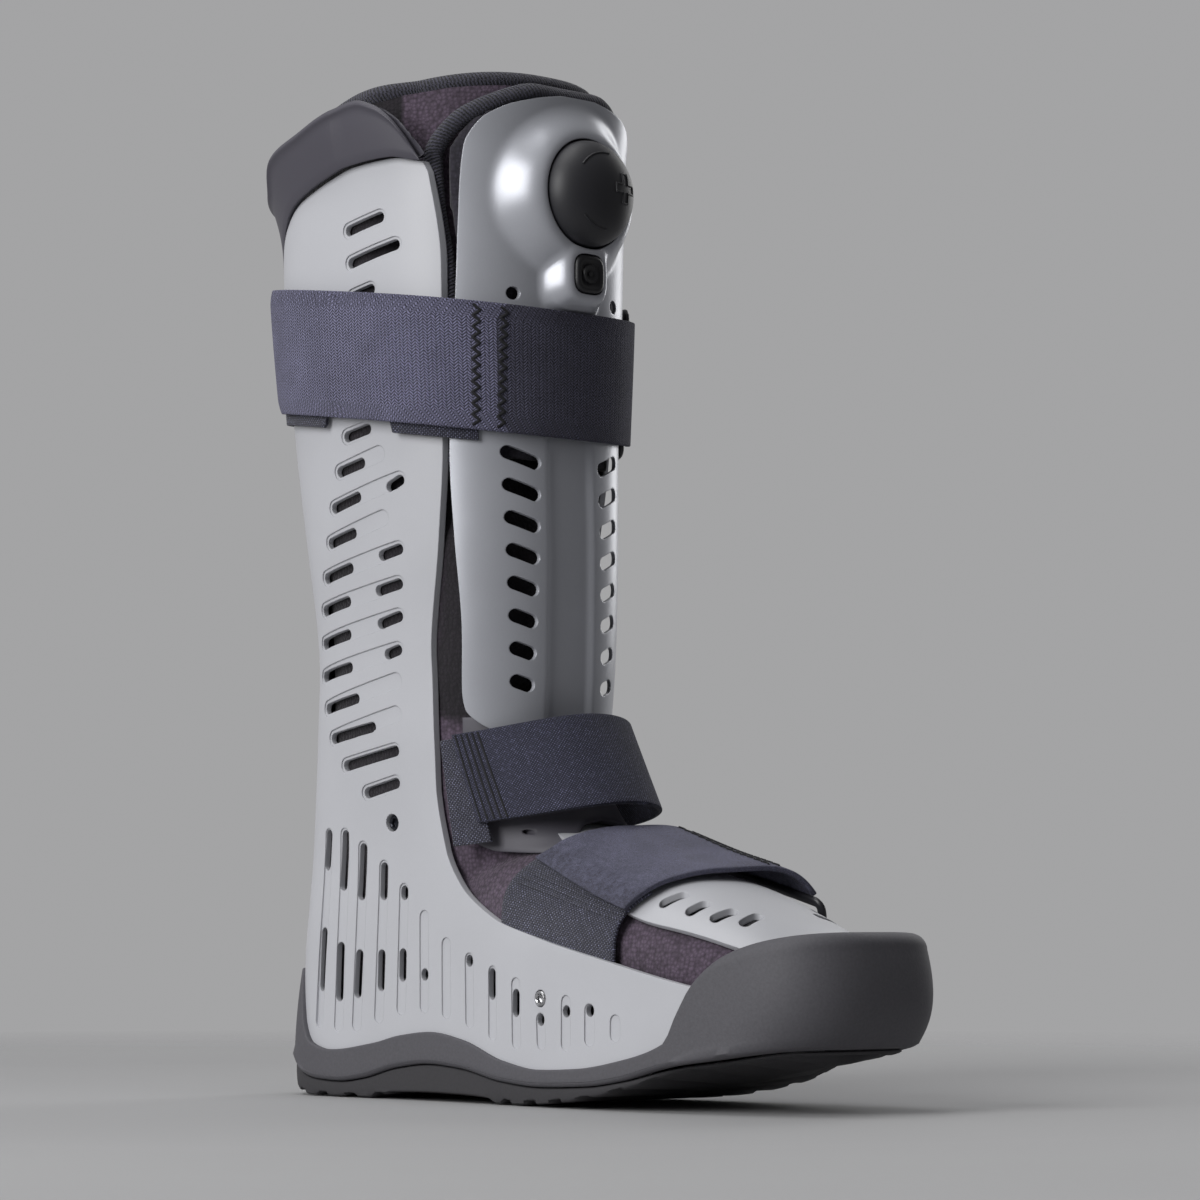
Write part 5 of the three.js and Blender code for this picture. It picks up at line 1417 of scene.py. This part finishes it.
flangeOutline = table("across low", [
    (0.0, 0.28), (0.25, 0.276), (0.5, 0.26), (0.75, 0.246), (0.92, 0.248), (1.0, 0.262)])
flange = {
    "half": 0.3, "top": 0.383, "wall": 2.6, "lift": 0.6, "bead": 0.9, "beadRise": 1.6, "beadSpread": 1.2,
    "edge": 0.8, "hole": (531.5, 830.6),  # column and row in the photograph
    "holeWidth": 2,
}


def makeFlange():
    u = np.linspace(-1, 1, 91)
    y = u * flange["half"] * calfWidth
    low = flangeOutline["low"](np.abs(u)) * shellHeight
    part = np.linspace(0, 1, 40)[:, None]
    z = low + (flange["top"] * shellHeight - low) * part
    bead = flange["bead"] * np.exp(-(((z - low) - flange["beadRise"]) / flange["beadSpread"]) ** 2)
    y = np.broadcast_to(y, z.shape)
    points = np.stack([frontReach(z, y, 0.0, False) + flange["lift"] + bead, y, z], -1)
    piece = gridOf("ankleFlange", points)
    outward(piece, (-20, 0, 100))
    thicken(piece, flange["wall"])
    _, holeY, holeZ = placeUnder(points, *flange["hole"])
    cut(piece, frontCutter((holeY - 1, holeZ, holeY + 1, holeZ), flange["holeWidth"], depth=0))
    bevelEdges(piece, flange["edge"])
    smooth(piece, 50)
    return dress(piece, "flange", "ankle_flange", slot="collar")


def footTop(x, y, offset):
    at = share(x)
    top = footSections["top"](at) * shellHeight + offset
    bottom = footSections["bottom"](at) * shellHeight - offset
    half = footSections["half"](at) * soleWidth + offset
    inside = 1 - np.minimum(0.99, np.abs(y) / half) ** fullness
    return bottom + (top - bottom) * (1 + inside ** (1 / fullness)) / 2


# The near slots of the forefoot panel in the photograph: outer and inner end
footPanelSlots = [
    # outer u, outer v, inner u, inner v
    (661, 906, 688, 894),
    (686, 915, 711, 903),
    (712, 922, 738, 910),
    (741, 927, 762, 916),
]


footPanel = {"lift": 3.2, "wall": 2.4, "slotWidth": 4.8}


def makeFootPanel():
    along = np.linspace(0.45, 0.945, 120)
    half = footPanelHalf["half"](along) * soleWidth
    y = half[:, None] * np.linspace(-1, 1, 81)
    x = np.broadcast_to(alongSole(along)[:, None], y.shape)
    points = np.stack([x, y, footTop(x, y, footPanel["lift"])], -1)
    piece = gridOf("footPanel", points)
    outward(piece, (100, 0, 20))
    thicken(piece, footPanel["wall"])
    cutters = []
    nearHalf = points[:, :41]
    for outerU, outerV, innerU, innerV in footPanelSlots:
        outer, inner = placeUnder(nearHalf, outerU, outerV), placeUnder(nearHalf, innerU, innerV)
        for side in (-1, 1):
            upper, lower = capsule(
                outer[0], -side * outer[1], inner[0], -side * inner[1], footPanel["slotWidth"])
            cutters.append(loftOf("cutter", [
                [(h[0], h[1], 20), (l[0], l[1], 20), (l[0], l[1], 140), (h[0], h[1], 140)]
                for h, l in zip(upper, lower)]))
    cut(piece, joinAll(cutters, "footCuts"))
    smooth(piece, 40)
    return dress(piece, "shell", "foot_panel", slot="shell")


makeFlange()
makeFootPanel()
print("flange and foot panel made")

# Straps

strap = {"width": 52, "thickness": 2.2, "pile": 1.6, "gap": 0.4, "edge": 0.5}


def bandOf(name, point, lengthSteps, widthSteps, inner, thickness, look, node, slot,
           start=lambda s: 0.0, low=0.0, high=1.0):
    # A strap between its start, which may slant, and its end, from its lower to its upper edge
    t = np.linspace(0, 1, lengthSteps)
    s = np.linspace(0, 1, widthSteps)
    lowAt = low if callable(low) else (lambda a: low)
    grid = np.array([[
        point(start(b) + (1 - start(b)) * a, lowAt(a) + (high - lowAt(a)) * b, inner + thickness)
        for a in t] for b in s])
    piece = gridOf(name, grid)
    outward(piece, (20, 0, float(grid[..., 2].mean()) - 30))
    thicken(piece, thickness)
    bevelEdges(piece, strap["edge"])
    smooth(piece, 50)
    return dress(piece, look, node, slot=slot)


# The straps run between angles in degrees, 0 being straight ahead; corners and
# columns are places in the photograph
calfStrap = {
    "middle": 0.754, "tilt": -0.136, "offset": 2.0,
    "top": (-148, 48), "base": (-294, -38), "baseDrop": 0.011,
    "hidden": (328, 394),  # the base stays behind the strap between these columns
    "seams": ((476, 477), (501, 505)),  # columns at the lower and the upper edge
    "zigzag": (0.0075, 22), "darkFrom": 504,
}


def calfPoint(start, end, drop):
    def at(t, s, offset):
        angle = math.radians(start + (end - start) * t)
        z = calfStrap["middle"] * shellHeight + (s - 0.5) * strap["width"] - drop
        point = legPoint(z, angle, offset)
        point[2] += calfStrap["tilt"] * point[0]
        return point
    return at


ankleStrap = {
    "low": 0.297, "high": 0.387, "centre": -0.139, "back": -0.09, "drop": 0.028, "offset": -1.2,
    "reachLow": 0.833, "reachHigh": 0.639, "half": 0.385,
    "top": (-62, 62), "base": (-64.5, -54), "baseLow": -0.22, "baseHigh": 0.96,
    "corners": ((477, 828), (453, 749)),  # of its free end, lower and upper
    "rows": 5, "rowStart": 0.012, "rowPitch": 0.016,
}


def anklePoint(start, end):
    def at(t, s, offset):
        angle = math.radians(start + (end - start) * t)
        centre = (ankleStrap["centre"] + (ankleStrap["back"] - ankleStrap["centre"]) * s) * calfDepth
        low, high = ankleStrap["reachLow"], ankleStrap["reachHigh"]
        reach = (low + (high - low) * s) * calfDepth + offset
        half = ankleStrap["half"] * calfWidth + offset
        x = centre + reach * power(math.cos(angle), 2 / fullness)
        y = half * power(math.sin(angle), 2 / fullness)
        sag = ankleStrap["drop"] * (y / half) ** 2
        level = ankleStrap["low"] + (ankleStrap["high"] - ankleStrap["low"]) * s
        return np.array([x, y, (level - sag) * shellHeight])
    return at


forefootStrap = {
    "near": 0.54, "skew": 0.05, "lift": 7, "fullness": 3, "offset": 1.8,
    "top": (-58, 58), "base": (-93, -40), "baseLow": -0.06, "baseHigh": 0.97,
    "corners": ((543, 870), (621, 907)),
    "seams": ((677, 773), (690, 783)), "zigzag": (0.008, 26),
    "rows": 3, "rowStart": 0.45, "rowPitch": 0.07,
}


def forefootPoint(start, end):
    def at(t, s, offset):
        angle = math.radians(start + (end - start) * t)
        across = math.sin(angle)
        skewed = forefootStrap["near"] + forefootStrap["skew"] * (across + 1) * 0.5
        x = float(alongSole(skewed)) + s * (strap["width"] + 4)
        x -= (16 - 10 * s) * float(smoothStep(-math.degrees(angle), 38, 85))
        part = share(x)
        top = footSections["top"](part) * shellHeight + offset
        bottom = footSections["bottom"](part) * shellHeight
        half = footSections["half"](part) * soleWidth + offset
        y = half * power(across, 2 / forefootStrap["fullness"])
        z = bottom + (top - bottom) * (1 + power(math.cos(angle), 2 / forefootStrap["fullness"])) / 2
        lift = forefootStrap["lift"] * smoothStep(across, -0.5, 0.7)
        return np.array([x, float(y), float(z + lift)])
    return at


thread = {"width": 1.25, "height": 0.9}


def zigzag(name, point, offset, t, tWidth, turns):
    # A zigzag row of stitches across the strap
    path = []
    for i in range(turns + 1):
        s = 0.03 + 0.94 * i / turns
        path.append(point(t + (tWidth if i % 2 else -tWidth), s, offset))
    path = np.array(path)
    fine = [np.linspace(a, b, 6, endpoint=False) for a, b in zip(path[:-1], path[1:])]
    fine = np.concatenate(fine + [path[-1:]])
    centre = np.array([0.0, 0.0, float(path[:, 2].mean())])
    return rollOf(name, fine, thread["width"], thread["height"], sides=6, normals=fine - centre)


calfTop = calfPoint(*calfStrap["top"], 0)
calfBase = calfPoint(*calfStrap["base"], calfStrap["baseDrop"] * shellHeight)
ankleTop = anklePoint(*ankleStrap["top"])
ankleBase = anklePoint(*ankleStrap["base"])
forefootTop = forefootPoint(*forefootStrap["top"])
forefootBase = forefootPoint(*forefootStrap["base"])
calfOver = calfStrap["offset"] + strap["pile"] + strap["gap"]
ankleOver = ankleStrap["offset"] + strap["pile"] + strap["gap"]
forefootOver = forefootStrap["offset"] + strap["pile"] + strap["gap"]

shown = np.linspace(0, 0.4, 300)
outline = np.array([float(pixelOf(calfTop(a, 0.5, calfOver))[0]) for a in shown])
calfStart = float(shown[np.argmin(outline)])
chamfer = lambda s: calfStart + 0.05 * max(0, abs(s - 0.5) - 0.37) / 0.13
bandOf("calfStrap", calfTop, 150, 40, calfOver, strap["thickness"], "strap", "calf_strap", "strap",
       start=chamfer)
baseShown = np.linspace(0.4, 1, 800)
baseColumns = np.array([float(pixelOf(calfBase(a, 0, calfStrap["offset"]))[0]) for a in baseShown])
baseColumns[np.gradient(baseColumns) < 0] = -1e4
hidden = [float(baseShown[np.argmin(np.abs(baseColumns - column))]) for column in calfStrap["hidden"]]
raised = lambda a: 0.13 * float(
    smoothStep(a, hidden[0], hidden[0] + 0.006) * (1 - smoothStep(a, hidden[1] - 0.006, hidden[1])))
bandOf("calfStrapBase", calfBase, 300, 26, calfStrap["offset"], strap["pile"], "pile",
       "calf_strap_base", "pile", low=raised)
ankleStart = [
    shareUnder(ankleTop, s, *ankleStrap["corners"][s], ankleOver + strap["thickness"]) for s in (0, 1)]
ankleEnd = lambda s: ankleStart[0] + (ankleStart[1] - ankleStart[0]) * s
bandOf("ankleStrap", ankleTop, 110, 26, ankleOver, strap["thickness"], "basket", "ankle_strap", "strap",
       start=ankleEnd)
bandOf("ankleStrapBase", ankleBase, 50, 26, ankleStrap["offset"], strap["pile"], "pile",
       "ankle_strap_base", "pile", low=ankleStrap["baseLow"], high=ankleStrap["baseHigh"])
footStart = [
    shareUnder(forefootTop, s, *forefootStrap["corners"][s], forefootOver + strap["thickness"])
    for s in (0, 1)]
footEnd = lambda s: footStart[0] + (footStart[1] - footStart[0]) * s
bandOf("forefootStrap", forefootTop, 110, 26, forefootOver, strap["thickness"], "twill", "forefoot_strap",
       "strap", start=footEnd)
bandOf("forefootStrapBase", forefootBase, 60, 26, forefootStrap["offset"], strap["pile"], "pile",
       "forefoot_strap_base", "pile", low=forefootStrap["baseLow"], high=forefootStrap["baseHigh"])
print("straps' ends at", ankleStart, footStart, calfStart)


def shareAtColumn(point, s, column, lift):
    # Share of a strap's length at which its near side shows in a pixel column
    t = np.linspace(0, 0.95, 500)
    u, v = np.array([pixelOf(point(a, s, lift)) for a in t]).T
    rising = np.gradient(u) > 0
    miss = np.abs(u - column) + 1e4 * ~rising
    return float(t[np.argmin(miss)])


def zigzagAt(name, point, over, low, high, width, turns):
    # A zigzag row from the strap's lower to its upper edge, given by their columns in the photograph
    first = shareAtColumn(point, 0, low, over + strap["thickness"])
    last = shareAtColumn(point, 1, high, over + strap["thickness"])
    moved = lambda t, s, offset: point(first + (last - first) * s + t, s, offset)
    return zigzag(name, moved, over + strap["thickness"] + 0.15, 0.0, width, turns)


def ridgeAt(name, point, over, start, shift, width=0.9):
    # A row of straight stitching beside a strap's end
    path = np.array([point(start(s) + shift, s, over + 0.12) for s in np.linspace(0.02, 0.98, 40)])
    centre = np.array([0.0, 0.0, float(path[:, 2].mean())])
    return rollOf(name, path, width, 0.7, sides=6, normals=path - centre)


def arcTo(point, t, lift):
    # Length of a strap's middle line up to a share of it, in metres
    line = np.array([point(a, 0.5, lift) for a in np.linspace(0, t, 200)])
    return float(np.linalg.norm(np.diff(line, axis=0), axis=1).sum()) * mm


# the calf strap's weave is darker beyond its front seam
calfWeave = [node for node in looks["strap"].node_tree.nodes if node.type == "GROUP"][0]
calfSeam = arcTo(calfTop, shareAtColumn(calfTop, 0.5, calfStrap["darkFrom"], calfOver), calfOver)
calfWeave.inputs["Seam"].default_value = calfSeam - arcTo(calfTop, calfStart, calfOver)
seams = []
for settings, point, over, name in (
        (calfStrap, calfTop, calfOver, "calfSeam"), (forefootStrap, forefootTop, forefootOver, "footSeam")):
    for low, high in settings["seams"]:
        seams.append(zigzagAt(name, point, over, low, high, *settings["zigzag"]))
for i in range(ankleStrap["rows"]):
    shift = ankleStrap["rowStart"] + ankleStrap["rowPitch"] * i
    seams.append(ridgeAt("ankleRow", ankleTop, ankleOver + strap["thickness"], ankleEnd, shift))
piece = joinAll(seams, "strapSeams")
smooth(piece, 60)
dress(piece, "thread", slot="strap")
rows = []
for i in range(forefootStrap["rows"]):
    shift = forefootStrap["rowStart"] + forefootStrap["rowPitch"] * i
    rows.append(ridgeAt(
        "baseRow", forefootBase, forefootStrap["offset"] + strap["pile"], lambda s: 0.0, shift, 1.4))
piece = joinAll(rows, "footBaseRows")
smooth(piece, 60)
dress(piece, "pile", slot="pile")
print("straps made")

# Loops and screws

loop = {"past": 4, "half": 4.6, "corner": 3.0, "width": 4.0, "height": 3.0, "lift": 1.5}


def makeLoop(name, point, t, tilt, node):
    low, high = point(t, 0, 0), point(t, 1, 0)
    middle = (low + high) / 2
    up = (high - low) / np.linalg.norm(high - low)
    ahead = point(t + 0.02, 0.5, 0) - point(t - 0.02, 0.5, 0)
    ahead = ahead - up * ahead.dot(up)
    ahead /= np.linalg.norm(ahead)
    out = np.cross(ahead, up) * tilt
    side = np.cross(out, up)
    centre = middle + out * (loop["lift"] + strap["thickness"])
    long, wide, corner = strap["width"] / 2 + loop["past"], loop["half"], loop["corner"]
    corners = []
    for cx, cy, start in ((1, 1, 0), (-1, 1, 90), (-1, -1, 180), (1, -1, 270)):
        for a in np.radians(start + np.linspace(0, 90, 7)):
            corners.append((
                cx * (long - corner) + corner * math.cos(a), cy * (wide - corner) + corner * math.sin(a)))
    path = np.array([centre + up * a + side * b for a, b in corners])
    path = smoothPath(path, 120, closed=True)
    normals = np.broadcast_to(out, path.shape)
    piece = rollOf(name, path, loop["width"], loop["height"], closed=True, sides=12, normals=normals)
    smooth(piece, 60)
    return dress(piece, "plastic", node, slot="loop")


makeLoop("calfLoop", calfTop, 1.04, 1, "calf_loop")
makeLoop("ankleLoop", ankleTop, 1.034, 1, "ankle_loop")
makeLoop("forefootLoop", forefootTop, 1.08, -1, "forefoot_loop")


screwDepth = 3.4


def makeScrew(name, screw, side, proud, look, node):
    column, row, radius = screw
    x, z = sidePlace(column, row)
    face = float(shellHalf(x, z))
    profile = [
        (0.05, -screwDepth), (radius - 0.4, -screwDepth), (radius - 0.4, proud - 0.5), (radius - 0.9, proud),
        (radius * 0.62, proud), (radius * 0.55, proud - 0.4), (radius * 0.5, proud - 1.6),
        (0.05, proud - 1.7),
    ]
    rings = []
    for i, (r, reach) in enumerate(profile):
        ring = []
        for a in np.linspace(0, 2 * math.pi, 48, endpoint=False):
            hexagon = math.cos(math.pi / 6) / math.cos((a % (math.pi / 3)) - math.pi / 6)
            far = r * (hexagon if 5 <= i <= 6 else 1)  # the socket's rows are hexagons
            ring.append((x + far * math.cos(a), side * (face + reach), z + far * math.sin(a)))
        rings.append(ring)
    piece = loftOf(name, rings)
    smooth(piece, 40)
    return dress(piece, look, node, slot="screw" if look == "screw" else "bolt")


for side, word in ((-1, "Right"), (1, "Left")):
    makeScrew("ankleScrew" + word, ankleScrew, side, -1.0, "bolt", "ankle_screw_" + word.lower())
    makeScrew("footScrew" + word, footScrew, side, 0.5, "screw", "foot_screw_" + word.lower())
print("loops and screws made")

# Camera, floor and light

def makeCamera():
    camera = bpy.data.cameras.new("camera")
    camera.sensor_width = 36
    camera.lens = cameraFocus / frameSize * 36
    camera.clip_end = 20
    body = bpy.data.objects.new("camera", camera)
    bpy.context.scene.collection.objects.link(body)
    body.location = Vector(cameraPlace) * mm
    body.rotation_euler = Vector(cameraAhead).to_track_quat("-Z", "Y").to_euler()
    bpy.context.scene.camera = body


floorFade = (0.4, 1.1)  # metres from the middle between which the floor fades out


def makeStage():
    bpy.ops.mesh.primitive_plane_add(size=3, location=(0, 0, -0.0005))
    floor = bpy.context.object
    floor.name = "floor"
    material = bpy.data.materials.new("floorPaint")
    material.use_nodes = True
    n = Nodes(material.node_tree)
    shader = material.node_tree.nodes["Principled BSDF"]
    noise = n.noise(n.add("TexCoord").outputs["Object"], 3, 2)
    grey = n.mixColour(noise.outputs["Fac"], (0.36, 0.36, 0.365), (0.385, 0.385, 0.39))
    n.link(grey, shader.inputs["Base Color"])
    shader.inputs["Roughness"].default_value = 0.7
    away = n.add("VectorMath", {0: n.add("TexCoord").outputs["Object"]}, operation="LENGTH").outputs["Value"]
    fade = n.add("MapRange", {"Value": away}, {
        "From Min": floorFade[0], "From Max": floorFade[1], "To Min": 1.0, "To Max": 0.0})
    n.link(fade.outputs[0], shader.inputs["Alpha"])
    floor.data.materials.append(material)


lightTarget = (0.03, 0, 0.2)
lights = [
    # name, place, width and height, watts
    ("keyLight", (0.12, -1.75, 0.9), (0.9, 1.3), 25),
    ("topLight", (-0.2, -0.3, 1.8), (1.4, 1.0), 11),
    ("rimLight", (-0.3, 1.8, 0.9), (0.7, 1.2), 8),
]


def areaLight(name, place, target, size, watts):
    light = bpy.data.lights.new(name, "AREA")
    light.shape = "RECTANGLE"
    light.size, light.size_y = size
    light.energy = watts
    body = bpy.data.objects.new(name, light)
    bpy.context.scene.collection.objects.link(body)
    body.location = place
    direction = Vector(target) - Vector(place)
    body.rotation_euler = direction.to_track_quat("-Z", "Y").to_euler()


makeCamera()
makeStage()
for name, place, size, watts in lights:
    areaLight(name, place, lightTarget, size, watts)
world = bpy.data.worlds.new("studio")
bpy.context.scene.world = world
world.use_nodes = True
n = Nodes(world.node_tree)
axes = n.add("SeparateXYZ", {"Vector": n.add("TexCoord").outputs["Generated"]})
shade = n.add("MapRange", {"Value": axes.outputs["X"]}, {"From Min": -0.5, "From Max": 0.8}).outputs[0]
sky = n.mixColour(shade, (0.37, 0.37, 0.375), (0.09, 0.09, 0.093))
n.link(sky, world.node_tree.nodes["Background"].inputs["Color"])
bpy.context.scene.view_settings.view_transform = "Standard"
print("camera and lights made")
